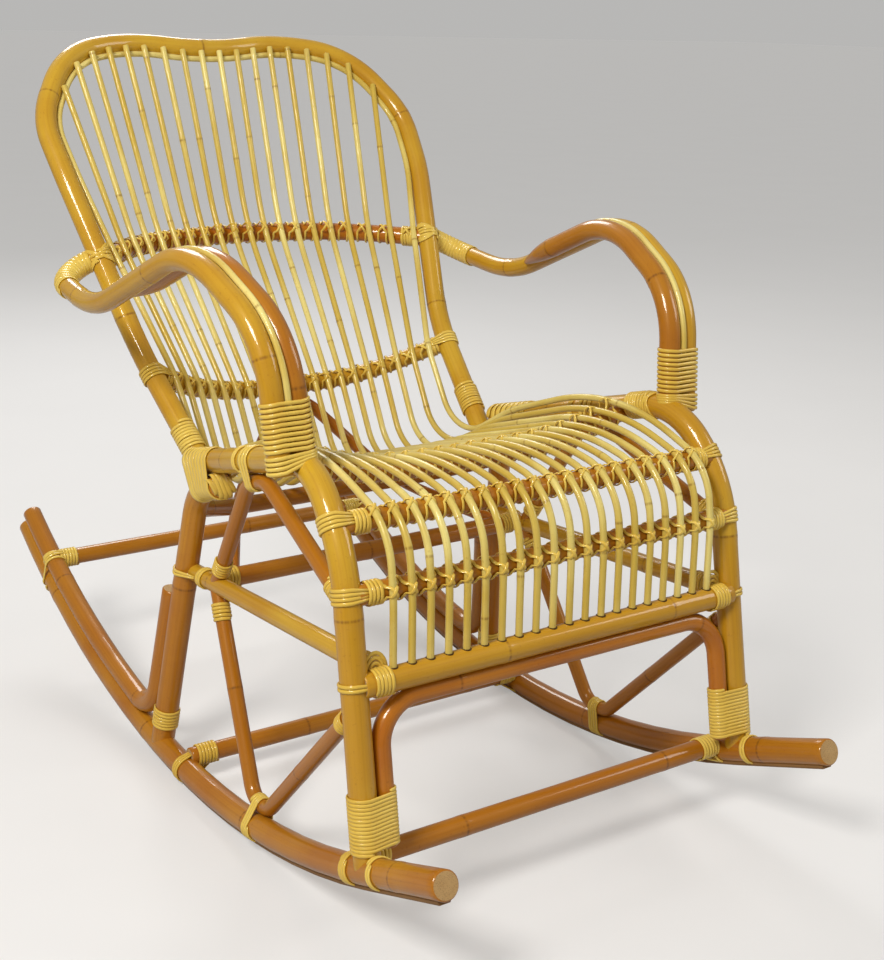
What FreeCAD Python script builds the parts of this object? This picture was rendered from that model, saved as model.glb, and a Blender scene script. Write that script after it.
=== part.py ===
"""Rattan rocking chair: bent poles, a deck of canes from the back to the front rail, wound lashings.

Millimetres. The chair faces -Y, +Z is up and +X is the sitter's left. The origin is on the floor,
midway between the two rockers, under the point where they rest.
"""
import FreeCAD, Part
import math
import os
from FreeCAD import Vector

os.makedirs("parts", exist_ok=True)

# Pole, cane and strand thicknesses
ROCKER_DIAMETER = 30
LEG_DIAMETER = 29
HOOP_DIAMETER = 27
ARM_DIAMETER = 25
HEEL_BRACE_DIAMETER = 26
FRONT_RAIL_DIAMETER = 22
LOWER_RAIL_DIAMETER = 26
ARCH_DIAMETER = 21
SEAT_RAIL_DIAMETER = 22
BACK_RAIL_DIAMETER = 24
STRETCHER_DIAMETER = 23
SIDE_STRETCHER_DIAMETER = 22
BRACE_DIAMETER = 18
PROP_DIAMETER = 16
CANE_DIAMETER = 8
FILLER_DIAMETER = 7
STRAND_DIAMETER = 4.5
STRAND_THICKNESS = 3

# Fits: a seated pole is coped or notched to its carrier with this gap, and crossing poles bite this deep
SEAT_GAP = 0.2
NOTCH = 1

# Section and bend fineness
POLE_SIDES = 10
CANE_SIDES = 5
WRAP_SIDES = 8
BEND_SAG = 1.2
CANE_SAG = 2
LARGEST_STEP = math.radians(24)
SHORTEST_RUN = 3

# Rockers: centre-line curve, and reaches measured along Y from the point of rest
ROCKER_SPACING = 512
ROCKER_RADIUS = 1066
FRONT_FOOT_REACH = 358
REAR_FOOT_REACH = 146
REAR_TIP_REACH = 604
FRONT_TIP_LENGTH = 147
SOLE_THICKNESS = 5
SOLE_WIDTH = 14
SOLE_BED = 2
SOLE_SETBACK = 8

# Front legs, bent back at the knee into the seat's side rails
SHIN_SPACING = 504
SHIN_REACH = 314
SHIN_HEIGHT = 402
SHIN_BEND = 180
KNEE_SPACING = 489
KNEE_REACH = 240
KNEE_HEIGHT = 480
KNEE_BEND = 90
RAIL_END_SPACING = 446
RAIL_END_REACH = 88
RAIL_END_HEIGHT = 406

# Rear legs, bent forward under the side rails, and the braces at their heels
HIP_REACH = 82
HIP_BEND = 60
HIP_RUN = 75
HEEL_BEND = 45
HEEL_REACH = 246
HEEL_BRACE_TOP = 236

# Back hoop, from its foot to the dip in its top
HOOP_FOOT_REACH = 84
HOOP_FOOT_HEIGHT = 379
HOOP_NOTCH = 7
WAIST = Vector(224, 228, 517)
SHOULDER_LOW = Vector(264, 338, 722)
SHOULDER = Vector(272, 393, 797)
HUMP_OUTER = Vector(215, 454, 880)
HUMP = Vector(110, 488, 895)
DIP = Vector(0, 474, 883)
HOOP_BENDS = [300, 300, 120, 140, 180]
DIP_BEND = 350
HOOP_MIDDLE = Vector(0, 360, 740)

# Arms: a long pole from the back to the knee, with a shorter one laid along its inner side
ARM_HEIGHT_AT_HOOP = 631
ARM_ELBOW = Vector(298, 322, 611)
ARM_DIP = Vector(305, 165, 586)
ARM_CREST = Vector(297, -82, 679)
ARM_FRONT = Vector(280, -214, 604)
ARM_FOOT_REACH = 228
ARM_FOOT_HEIGHT = 452
ARM_BENDS = [40, 200, 130, 110]
INNER_ARM_START = 110
FILLER_START = 50

# Cross rails
LOWER_RAIL_HEIGHT = 270
MIDDLE_RAIL_HEIGHT = 360
UPPER_RAIL_HEIGHT = 425
RAIL_FORWARD = 6
RAIL_INSET = 5
SEAT_RAIL_REACH = 160
SEAT_RAIL_DROP = 6
REAR_RAIL_HEIGHT = 350
REAR_RAIL_CORNER = Vector(140, 150, 322)
REAR_RAIL_BEND = 110
UPPER_BACK_DROP = 4
UPPER_BACK_CORNER = Vector(165, 85, 7)
UPPER_BACK_CREST = Vector(0, 133, 11)
UPPER_BACK_BENDS = [200, 400]
LOWER_BACK_HEIGHT = 492
LOWER_BACK_CORNER = Vector(110, 254, 446)
LOWER_BACK_BEND = 250

# Front arch under the lower rail
ARCH_BEND = 48
ARCH_FOOT_HEIGHT = 100

# Stretchers and braces
FRONT_STRETCHER_REACH = 330
FRONT_STRETCHER_LIFT = 8
LOWER_STRETCHER_REACH = 75
LOWER_STRETCHER_LIFT = 14
MIDDLE_STRETCHER_REACH = 40
SIDE_STRETCHER_REAR_HEIGHT = 268
REAR_STRETCHER_REACH = 505
SIDE_STRETCHER_FRONT_LIFT = 11
UPPER_BRACE_REAR = 74
UPPER_BRACE_FRONT = 122
UPPER_BRACE_BEND = 50
UPPER_BRACE_END_HEIGHT = 348
LOWER_BRACE_REAR = 94
LOWER_BRACE_FRONT = 130
LOWER_BRACE_INSET = 8
LOWER_BRACE_BEND = 30
LOWER_BRACE_END_HEIGHT = 245
BRACE_FOOT_REACH = 26
PROP_FOOT = 200
PROP_KNEE = Vector(120, 190, 312)
PROP_KNEE_BEND = 150
PROP_TOP = Vector(0, 262, 446)
PROP_TOP_BEND = 40

# Cane deck: half widths at its stations, and its line in side view
CANE_COUNT = 20
DECK_FRONT = 212
DECK_REAR = 186
DECK_WAIST = 190
DECK_RIB = 226
DECK_TOP = 232
CREST_REACH = 168
CREST_HEIGHT = 490
CREST_BEND = 300
SLOPE_REACH = 20
SLOPE_HEIGHT = 430
SLOPE_BEND = 250
LOW_REACH = 126
LOW_HEIGHT = 369
LOW_BEND = 65
LOW_BOWL = 45
NOSE_BEND = 68
NOSE_SETBACK = 8
APRON_BEND = 300
WAIST_BEND = 220
RIB_BEND = 300
BACK_LEAN = math.radians(55)

# Arm bindings: turns of strand round both arm poles above the knee
BINDING_TURNS = 10
BINDING_PITCH = 5.1
BINDING_LIFT = 7
BINDING_SLACK = 1.4
BINDING_STEPS = 6

# Plain lashings
WRAP_CLEARANCE = 2
FOOT_WRAP_HEIGHT = 110
FOOT_WRAP_LENGTH = 62
RAIL_WRAP_LENGTH = 11
HOOP_WRAP_HEIGHT = 416
HOOP_WRAP_TOP = 446
STRETCHER_WRAP_LENGTH = 22
LEG_WRAP_HEIGHT = 58
LEG_WRAP_TOP = 84
ELBOW_WRAP_RUN = 8


def mirrored(thing):
    """The same point, or the same solid, on the other side of the chair."""
    if isinstance(thing, Vector):
        return Vector(-thing.x, thing.y, thing.z)
    return thing.mirror(Vector(0, 0, 0), Vector(1, 0, 0))


def unit(vector):
    return Vector(vector).normalize()


def tube(spots, diameter, sides):
    """A many-sided bar along straight runs between spots, mitred where they meet."""
    runs = [unit(second - first) for first, second in zip(spots, spots[1:])]
    across = unit(runs[0].cross(Vector(0.3, 0.5, 0.8)))
    upward = runs[0].cross(across)
    ring = []
    for k in range(sides):
        angle = 2 * math.pi * k / sides
        spoke = across * math.cos(angle) + upward * math.sin(angle)
        ring.append(spots[0] + spoke * diameter / 2)
    faces = [Part.Face(Part.makePolygon(ring[::-1] + ring[-1:]))]
    for spot, run, following in zip(spots[1:], runs, runs[1:] + runs[-1:]):
        mitre = run + following
        moved = [corner + run * ((spot - corner).dot(mitre) / run.dot(mitre)) for corner in ring]
        for k in range(sides):
            side = [ring[k - 1], ring[k], moved[k], moved[k - 1], ring[k - 1]]
            faces.append(Part.Face(Part.makePolygon(side)))
        ring = moved
    faces.append(Part.Face(Part.makePolygon(ring + ring[:1])))
    return Part.makeSolid(Part.makeShell(faces))


class Pole:
    """A pole of one thickness along straight runs joined by tangent arcs."""

    def __init__(self, points, bends, diameter, sides=POLE_SIDES, sag=BEND_SAG, flipped=False):
        self.points = points
        self.bends = bends
        self.diameter = diameter
        self.sides = sides
        self.sag = sag
        self.flipped = flipped

    def spots(self):
        """Places along the centre line, with each arc stepped into short straight runs."""
        places = [self.points[0]]
        for before, corner, after, radius in zip(self.points, self.points[1:], self.points[2:], self.bends):
            heading = unit(corner - before)
            leaving = unit(after - corner)
            turn = heading.getAngle(leaving)
            toward = unit(heading.cross(leaving).cross(heading))
            start = corner - heading * radius * math.tan(turn / 2)
            centre = start + toward * radius
            step = min(2 * math.acos(1 - self.sag / radius), LARGEST_STEP)
            count = math.ceil(turn / step)
            for k in range(count + 1):
                angle = turn * k / count
                spot = centre + (heading * math.sin(angle) - toward * math.cos(angle)) * radius
                if (spot - places[-1]).Length > SHORTEST_RUN:
                    places.append(spot)
        if (self.points[-1] - places[-1]).Length > SHORTEST_RUN:
            places.append(self.points[-1])
        return places

    def solid(self, extra=0.0):
        """The pole, or with extra thickness the groove that another piece needs to seat on it."""
        shape = tube(self.spots(), self.diameter + extra, self.sides)
        return mirrored(shape) if self.flipped else shape

    def groove(self):
        return self.solid(2 * SEAT_GAP)

    def where(self, axis, value):
        """The first place on the centre line whose x, y or z has this value."""
        spots = self.spots()
        for first, second in zip(spots, spots[1:]):
            low, high = getattr(first, axis), getattr(second, axis)
            if low != high and (low - value) * (high - value) <= 0:
                return first + (second - first) * ((value - low) / (high - low))
        raise ValueError(f"the pole has no place at {axis} = {value}")

    def other_side(self):
        """The same pole on the other side of the chair, which keeps this side's centre line."""
        return Pole(self.points, self.bends, self.diameter, self.sides, self.sag, True)


def seated(solid, carriers):
    """The solid cut to seat on its carriers, without the chips beyond them."""
    for carrier in carriers:
        solid = solid.cut(carrier.groove())
    return max(solid.Solids, key=lambda piece: piece.Volume)


def across_chair(point, bends, diameter, *inner):
    """A pole from side to side, from an end point on the +X side and any corners inside it."""
    half = [point, *inner]
    middle = [half[-1]] if abs(half[-1].x) < SEAT_GAP else []
    right = half[:-1] if middle else half
    points = right + middle + [mirrored(place) for place in reversed(right)]
    turns = bends + bends[:-1][::-1] if middle else bends + bends[::-1]
    return Pole(points, turns, diameter)


nodes = {}


def save(name, *solids):
    nodes[name] = [solid for piece in solids for solid in piece.Solids]


def save_pair(name, solid):
    save(f"{name}_left", solid)
    save(f"{name}_right", mirrored(solid))


# Rockers
rocker_x = ROCKER_SPACING / 2
rocker_low = SOLE_THICKNESS + ROCKER_DIAMETER / 2 - SOLE_BED
rocker_centre = Vector(rocker_x, 0, rocker_low + ROCKER_RADIUS)


def over_rocker(reach, lift=0.0):
    """A place above the rocker's centre line by lift, at this reach along Y."""
    radius = ROCKER_RADIUS - lift
    return rocker_centre + Vector(0, reach, -math.sqrt(radius ** 2 - reach ** 2))


def along_rocker(reach, radius=ROCKER_RADIUS):
    """The rearward direction of a circle about the rocker's centre, at this reach."""
    return Vector(0, math.sqrt(1 - (reach / radius) ** 2), reach / radius)


def arc_corner(first, second, radius):
    """The corner whose arc of this radius about the rocker's centre joins two reaches."""
    middle = (math.asin(first / radius) + math.asin(second / radius)) / 2
    half = (math.asin(second / radius) - math.asin(first / radius)) / 2
    away = radius / math.cos(half)
    return rocker_centre + Vector(0, away * math.sin(middle), -away * math.cos(middle))


front_foot = over_rocker(-FRONT_FOOT_REACH)
rear_foot = over_rocker(REAR_FOOT_REACH)
rear_tip = over_rocker(REAR_TIP_REACH)
front_tip = front_foot - along_rocker(-FRONT_FOOT_REACH) * FRONT_TIP_LENGTH
rocker = Pole(
    [front_tip, arc_corner(-FRONT_FOOT_REACH, REAR_TIP_REACH, ROCKER_RADIUS), rear_tip],
    [ROCKER_RADIUS],
    ROCKER_DIAMETER,
)


def sole_strip(inner, outer, width, setback):
    """A strip under the rocker between two radii, straight under the front tip."""
    front_angle = -math.asin(FRONT_FOOT_REACH / ROCKER_RADIUS)
    rear_angle = math.asin(REAR_TIP_REACH / ROCKER_RADIUS) - setback / ROCKER_RADIUS
    forward = along_rocker(-FRONT_FOOT_REACH) * (setback - FRONT_TIP_LENGTH)
    side = Vector(-width / 2, 0, 0)

    def spot(radius, angle):
        return rocker_centre + side + Vector(0, radius * math.sin(angle), -radius * math.cos(angle))

    middle = (front_angle + rear_angle) / 2
    lower = Part.Arc(spot(outer, front_angle), spot(outer, middle), spot(outer, rear_angle))
    upper = Part.Arc(spot(inner, rear_angle), spot(inner, middle), spot(inner, front_angle))
    front_upper = spot(inner, front_angle) + forward
    front_lower = spot(outer, front_angle) + forward
    edges = [
        lower.toShape(),
        Part.LineSegment(spot(outer, rear_angle), spot(inner, rear_angle)).toShape(),
        upper.toShape(),
        Part.LineSegment(spot(inner, front_angle), front_upper).toShape(),
        Part.LineSegment(front_upper, front_lower).toShape(),
        Part.LineSegment(front_lower, spot(outer, front_angle)).toShape(),
    ]
    return Part.Face(Part.Wire(edges)).extrude(Vector(width, 0, 0))


bed_radius = ROCKER_RADIUS + ROCKER_DIAMETER / 2 - SOLE_BED
sole = sole_strip(bed_radius, bed_radius + SOLE_THICKNESS, SOLE_WIDTH, SOLE_SETBACK)
bed = sole_strip(bed_radius - SEAT_GAP, bed_radius + ROCKER_DIAMETER, 2 * ROCKER_DIAMETER, -SOLE_SETBACK)
save_pair("rocker", rocker.solid().cut(bed))
save_pair("rocker_sole", sole)

# Front legs with the side rails
knee = Vector(KNEE_SPACING / 2, -KNEE_REACH, KNEE_HEIGHT)
rail_end = Vector(RAIL_END_SPACING / 2, RAIL_END_REACH, RAIL_END_HEIGHT)
shin = Vector(SHIN_SPACING / 2, -SHIN_REACH, SHIN_HEIGHT)
front_leg = Pole([front_foot, shin, knee, rail_end], [SHIN_BEND, KNEE_BEND], LEG_DIAMETER)
save_pair("front_leg", seated(front_leg.solid(), [rocker]))
rail_heading = unit(rail_end - knee)
rail_below = unit(rail_heading.cross(Vector(1, 0, 0)))


def under_rail(reach, diameter):
    """The centre of a pole of this diameter that lies under the side rail."""
    return front_leg.where("y", reach) + rail_below * ((LEG_DIAMETER + diameter) / 2 + SEAT_GAP)


# Rear legs
hip = under_rail(HIP_REACH, LEG_DIAMETER)
rear_leg = Pole([rear_foot, hip, hip - rail_heading * HIP_RUN], [HIP_BEND], LEG_DIAMETER)
save_pair("rear_leg", seated(rear_leg.solid(), [rocker, front_leg]))

# Heel braces: along the rocker, then up behind the rear leg
heel_lift = (ROCKER_DIAMETER + HEEL_BRACE_DIAMETER) / 2 + SEAT_GAP
heel_radius = ROCKER_RADIUS - heel_lift
leg_heading = unit(hip - rear_foot)
leg_behind = unit(leg_heading.cross(Vector(1, 0, 0)))
behind_leg = rear_foot + leg_behind * ((LEG_DIAMETER + HEEL_BRACE_DIAMETER) / 2 + SEAT_GAP)
heel = over_rocker(HEEL_REACH, heel_lift)
heel_heading = along_rocker(HEEL_REACH, heel_radius)
heel_offset = behind_leg - heel
heel_span = heel_heading.y * leg_heading.z - heel_heading.z * leg_heading.y
heel_run = (heel_offset.y * leg_heading.z - heel_offset.z * leg_heading.y) / heel_span
heel_corner = heel + heel_heading * heel_run
heel_top_share = (HEEL_BRACE_TOP - behind_leg.z) / leg_heading.z
heel_top = behind_leg + leg_heading * heel_top_share
heel_brace = Pole(
    [
        over_rocker(REAR_TIP_REACH * heel_radius / ROCKER_RADIUS, heel_lift),
        arc_corner(HEEL_REACH, REAR_TIP_REACH * heel_radius / ROCKER_RADIUS, heel_radius),
        heel_corner,
        heel_top,
    ],
    [heel_radius, HEEL_BEND],
    HEEL_BRACE_DIAMETER,
)
save_pair("heel_brace", seated(heel_brace.solid(), [rocker, rear_leg]))

# Back hoop
rail_inside = front_leg.where("y", HOOP_FOOT_REACH).x - (LEG_DIAMETER + HOOP_DIAMETER) / 2 + HOOP_NOTCH
hoop_foot = Vector(rail_inside, HOOP_FOOT_REACH, HOOP_FOOT_HEIGHT)
hoop = across_chair(
    hoop_foot, HOOP_BENDS + [DIP_BEND], HOOP_DIAMETER, WAIST, SHOULDER_LOW, SHOULDER, HUMP_OUTER, HUMP, DIP
)
both_legs = [front_leg, front_leg.other_side()]
both_rear_legs = [rear_leg, rear_leg.other_side()]
save("back_hoop", seated(hoop.solid(), both_legs + both_rear_legs))

# Back rails, bowed behind the sitter; the upper one meets the hoop just below the arms
upper_back_end = hoop.where("z", ARM_HEIGHT_AT_HOOP - UPPER_BACK_DROP)
level_with_end = Vector(0, upper_back_end.y, upper_back_end.z)
upper_back = across_chair(
    upper_back_end,
    UPPER_BACK_BENDS,
    BACK_RAIL_DIAMETER,
    level_with_end + UPPER_BACK_CORNER,
    level_with_end + UPPER_BACK_CREST,
)
save("back_rail_upper", seated(upper_back.solid(), [hoop]))
lower_back = across_chair(
    hoop.where("z", LOWER_BACK_HEIGHT), [LOWER_BACK_BEND], SEAT_RAIL_DIAMETER, LOWER_BACK_CORNER
)
save("back_rail_lower", seated(lower_back.solid(), [hoop]))

# Seat rails between the side rails
seat_rail_end = front_leg.where("y", -SEAT_RAIL_REACH) - Vector(RAIL_INSET, 0, SEAT_RAIL_DROP)
seat_rail = across_chair(seat_rail_end, [], SEAT_RAIL_DIAMETER)
save("seat_rail_middle", seated(seat_rail.solid(), both_legs))
rear_rail = across_chair(
    rear_leg.where("z", REAR_RAIL_HEIGHT), [REAR_RAIL_BEND], SEAT_RAIL_DIAMETER, REAR_RAIL_CORNER
)
save("seat_rail_rear", seated(rear_rail.solid(), both_rear_legs))


def front_rail(height, diameter):
    """A straight rail between the front legs, a little ahead of their centre lines."""
    end = front_leg.where("z", height) - Vector(RAIL_INSET, RAIL_FORWARD, 0)
    return across_chair(end, [], diameter)


upper_rail = front_rail(UPPER_RAIL_HEIGHT, FRONT_RAIL_DIAMETER)
middle_rail = front_rail(MIDDLE_RAIL_HEIGHT, FRONT_RAIL_DIAMETER)
lower_rail = front_rail(LOWER_RAIL_HEIGHT, LOWER_RAIL_DIAMETER)
save("front_rail_upper", seated(upper_rail.solid(), both_legs))
save("front_rail_middle", seated(middle_rail.solid(), both_legs))
save("front_rail_lower", seated(lower_rail.solid(), both_legs))

# Front arch, under the lower rail and down the inner sides of the legs
arch_beside = (LEG_DIAMETER + ARCH_DIAMETER) / 2 + SEAT_GAP
arch_top = LOWER_RAIL_HEIGHT - (LOWER_RAIL_DIAMETER + ARCH_DIAMETER) / 2 + NOTCH
arch_corner = front_leg.where("z", arch_top) - Vector(arch_beside, 0, 0)
arch_foot = front_leg.where("z", ARCH_FOOT_HEIGHT) - Vector(arch_beside, 0, 0)
front_arch = across_chair(arch_foot, [ARCH_BEND], ARCH_DIAMETER, arch_corner)
save("front_arch", seated(front_arch.solid(), both_legs + [lower_rail]))

# Stretchers across the chair
both_rockers = [rocker, rocker.other_side()]
front_stretcher = across_chair(
    over_rocker(-FRONT_STRETCHER_REACH) + Vector(-RAIL_INSET, 0, FRONT_STRETCHER_LIFT), [], STRETCHER_DIAMETER
)
save("stretcher_front", seated(front_stretcher.solid(), both_rockers + both_legs))
lower_stretcher = across_chair(
    over_rocker(LOWER_STRETCHER_REACH) + Vector(-RAIL_INSET, 0, LOWER_STRETCHER_LIFT), [], STRETCHER_DIAMETER
)
save("stretcher_lower_rear", seated(lower_stretcher.solid(), both_rockers))
rear_end = heel_brace.where("y", REAR_STRETCHER_REACH)
rear_stretcher = across_chair(rear_end, [], STRETCHER_DIAMETER)
save("stretcher_rear", seated(rear_stretcher.solid(), [heel_brace, heel_brace.other_side()]))

# Side stretchers, from the rear legs to the lower front rail, inside the front legs
side_front_height = LOWER_RAIL_HEIGHT + SIDE_STRETCHER_FRONT_LIFT
side_beside = (LEG_DIAMETER + SIDE_STRETCHER_DIAMETER) / 2 + SEAT_GAP
side_front = front_leg.where("z", side_front_height) - Vector(side_beside, 0, 0)
side_rear_reach = rear_leg.where("z", SIDE_STRETCHER_REAR_HEIGHT).y - LEG_DIAMETER / 4
side_rear = Vector(side_front.x, side_rear_reach, SIDE_STRETCHER_REAR_HEIGHT)
side_stretcher = Pole([side_rear, side_front], [], SIDE_STRETCHER_DIAMETER)
save_pair("side_stretcher", seated(side_stretcher.solid(), [rear_leg, lower_rail, front_leg]))

# Bent braces: one up under the side rail, one down on the rocker
brace_foot = side_stretcher.where("y", BRACE_FOOT_REACH)
upper_brace = Pole(
    [
        brace_foot,
        under_rail(-UPPER_BRACE_REAR, BRACE_DIAMETER),
        under_rail(-UPPER_BRACE_FRONT, BRACE_DIAMETER),
        front_leg.where("z", UPPER_BRACE_END_HEIGHT),
    ],
    [UPPER_BRACE_BEND, UPPER_BRACE_BEND],
    BRACE_DIAMETER,
)
save_pair("upper_brace", seated(upper_brace.solid(), [side_stretcher, front_leg]))
brace_lift = math.sqrt(((ROCKER_DIAMETER + BRACE_DIAMETER) / 2 + SEAT_GAP) ** 2 - LOWER_BRACE_INSET ** 2)
brace_inset = Vector(LOWER_BRACE_INSET, 0, 0)
lower_brace = Pole(
    [
        brace_foot,
        over_rocker(-LOWER_BRACE_REAR, brace_lift) - brace_inset,
        over_rocker(-LOWER_BRACE_FRONT, brace_lift) - brace_inset,
        front_leg.where("z", LOWER_BRACE_END_HEIGHT),
    ],
    [LOWER_BRACE_BEND, LOWER_BRACE_BEND],
    BRACE_DIAMETER,
)
save_pair("lower_brace", seated(lower_brace.solid(), [side_stretcher, front_leg, rocker]))

# Middle stretcher between the side stretchers, where the braces meet
middle_end = side_stretcher.where("y", MIDDLE_STRETCHER_REACH)
middle_stretcher = across_chair(middle_end, [], STRETCHER_DIAMETER)
right_carriers = [side_stretcher, upper_brace, lower_brace]
left_carriers = [carrier.other_side() for carrier in right_carriers]
save("stretcher_middle", seated(middle_stretcher.solid(), right_carriers + left_carriers))

# Arched prop from the middle stretcher to the lower back rail
prop_foot = Vector(PROP_FOOT, MIDDLE_STRETCHER_REACH, middle_end.z)
back_prop = across_chair(prop_foot, [PROP_KNEE_BEND, PROP_TOP_BEND], PROP_DIAMETER, PROP_KNEE, PROP_TOP)
save("back_prop", seated(back_prop.solid(), [middle_stretcher, lower_back, rear_rail]))

# Arms
arm_start = hoop.where("z", ARM_HEIGHT_AT_HOOP)
arm_foot_x = front_leg.where("y", -ARM_FOOT_REACH).x + (LEG_DIAMETER + ARM_DIAMETER) / 2 + SEAT_GAP
arm_foot = Vector(arm_foot_x, -ARM_FOOT_REACH, ARM_FOOT_HEIGHT)
outer_arm = Pole([arm_start, ARM_ELBOW, ARM_DIP, ARM_CREST, ARM_FRONT, arm_foot], ARM_BENDS, ARM_DIAMETER)
save_pair("arm_outer", seated(outer_arm.solid(), [hoop, front_leg, upper_back]))
arm_pitch = Vector(ARM_DIAMETER + SEAT_GAP, 0, 0)
inner_start = outer_arm.where("y", INNER_ARM_START)
inner_foot = Vector(arm_foot.x, arm_foot.y, KNEE_HEIGHT - LEG_DIAMETER / 2)
inner_arm = Pole(
    [inner_start - arm_pitch, ARM_CREST - arm_pitch, ARM_FRONT - arm_pitch, inner_foot - arm_pitch],
    ARM_BENDS[2:],
    ARM_DIAMETER,
)
save_pair("arm_inner", seated(inner_arm.solid(), [front_leg, outer_arm]))
filler_rise = math.sqrt((ARM_DIAMETER / 2 + FILLER_DIAMETER / 2 + SEAT_GAP) ** 2 - (arm_pitch.x / 2) ** 2)
binding_base_height = KNEE_HEIGHT + BINDING_LIFT


def between_arms(height):
    """The middle of the two arm poles' straight front run, at a height on its line."""
    share = (height - ARM_FRONT.z) / (arm_foot.z - ARM_FRONT.z)
    return ARM_FRONT + (arm_foot - ARM_FRONT) * share - arm_pitch / 2


def raised(points, distance):
    """The corners of a route moved outward in its upright plane, so that its runs stay parallel."""
    normals = [unit(Vector(1, 0, 0).cross(b - a)) * -1 for a, b in zip(points, points[1:])]
    moved = [points[0] + normals[0] * distance]
    for corner, first, second in zip(points[1:], normals, normals[1:]):
        moved.append(corner + (first + second) * (distance / (1 + first.dot(second))))
    return moved + [points[-1] + normals[-1] * distance]


filler_route = raised(
    [
        outer_arm.where("y", FILLER_START) - arm_pitch / 2,
        ARM_CREST - arm_pitch / 2,
        ARM_FRONT - arm_pitch / 2,
        between_arms(binding_base_height),
    ],
    filler_rise,
)
filler_bends = [bend + filler_rise for bend in ARM_BENDS[2:]]
filler = Pole(filler_route, filler_bends, FILLER_DIAMETER, CANE_SIDES)

# Arm bindings: one strand wound upward round both poles, straight between them and round their backs
binding_height = BINDING_TURNS * BINDING_PITCH
binding_top_height = binding_base_height + binding_height
binding_base = between_arms(binding_base_height)
binding_up = unit(between_arms(binding_top_height) - binding_base)
binding_side = unit(Vector(1, 0, 0) - binding_up * binding_up.x)
binding_back = binding_up.cross(binding_side)
wind_radius = (ARM_DIAMETER + STRAND_DIAMETER) / 2 + BINDING_SLACK
half_pitch = arm_pitch.x / 2


def wound(aside, behind, rise):
    """A place in the binding's own frame."""
    return binding_base + binding_side * aside + binding_back * behind + binding_up * rise


strand = [wound(half_pitch - STRAND_DIAMETER, -wind_radius, 0)]
for half_turn in range(2 * BINDING_TURNS):
    sign = 1 if half_turn % 2 == 0 else -1
    for k in range(BINDING_STEPS + 1):
        angle = math.pi * k / BINDING_STEPS
        aside = sign * (half_pitch + wind_radius * math.sin(angle))
        behind = -sign * wind_radius * math.cos(angle)
        rise = BINDING_PITCH / 2 * (half_turn + k / BINDING_STEPS)
        strand.append(wound(aside, behind, rise))
strand.append(wound(STRAND_DIAMETER - half_pitch, -wind_radius, binding_height))
binding = tube(strand, STRAND_DIAMETER, CANE_SIDES)
per_turn = 2 * (BINDING_STEPS + 1)
turn_gaps = [
    spot.distanceToLine(first, second - first) - STRAND_DIAMETER
    for spot, first, second in zip(strand, strand[per_turn:], strand[per_turn + 1:])
]
print(f"arm binding: least gap between turns {min(turn_gaps):.2f} mm")
save("arm_bindings", binding, mirrored(binding))
filler_bottom = binding_top_height + STRAND_DIAMETER
below = Part.makeBox(
    ROCKER_SPACING, ROCKER_SPACING, filler_bottom, Vector(0, -ROCKER_SPACING, 0)
)
save_pair("arm_filler", seated(filler.solid().cut(below), [outer_arm, inner_arm]))

# Rim cane: an outer cane on each side, joined by the lining that follows the inside of the hoop
cane_seat = CANE_DIAMETER / 2 + SEAT_GAP
lining_offset = HOOP_DIAMETER / 2 + cane_seat


def lined(before, corner, after):
    """The lining's corner inside a corner of the hoop."""
    along = unit(unit(corner - before) + unit(after - corner))
    inward = HOOP_MIDDLE - corner
    return corner + unit(inward - along * inward.dot(along)) * lining_offset


hoop_corners = [WAIST, SHOULDER_LOW, SHOULDER, HUMP_OUTER, HUMP, DIP, mirrored(HUMP)]
lining_corners = [lined(*three) for three in zip(hoop_corners, hoop_corners[1:], hoop_corners[2:])]
lining_bends = [bend - lining_offset for bend in HOOP_BENDS[1:]]


def deck_corners(share):
    """Corners of one cane from the lower front rail to the upper back rail; share is 0 to 1 sideways."""
    lower_end, middle_end, upper_end = lower_rail.points[0], middle_rail.points[0], upper_rail.points[0]
    apron_y = middle_end.y - FRONT_RAIL_DIAMETER / 2 - cane_seat
    over_rail = FRONT_RAIL_DIAMETER / 2 + cane_seat
    climb_y = -CREST_REACH - upper_end.y
    climb_z = CREST_HEIGHT - upper_end.z
    climb = math.atan2(climb_z, climb_y) - math.asin(over_rail / math.hypot(climb_y, climb_z))
    nose_y = apron_y + NOSE_SETBACK
    nose_z = CREST_HEIGHT - (-CREST_REACH - nose_y) * math.tan(climb)
    bowl = LOW_BOWL * (1 - share ** 4)
    waist = lower_back.where("x", DECK_WAIST * share)
    rib = upper_back.where("x", DECK_RIB * share)
    ahead = Vector(0, -math.sin(BACK_LEAN), math.cos(BACK_LEAN))
    return [
        Vector(DECK_FRONT * share, lower_end.y, lower_end.z),
        Vector(DECK_FRONT * share, apron_y, middle_end.z),
        Vector(DECK_FRONT * share, nose_y, nose_z),
        Vector(DECK_FRONT * share, -CREST_REACH, CREST_HEIGHT),
        Vector((DECK_FRONT + DECK_REAR) / 2 * share, SLOPE_REACH, SLOPE_HEIGHT),
        Vector(DECK_REAR * share, LOW_REACH + bowl, LOW_HEIGHT - bowl),
        waist + ahead * (SEAT_RAIL_DIAMETER / 2 + cane_seat),
        rib + ahead * (BACK_RAIL_DIAMETER / 2 + cane_seat),
    ]


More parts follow.
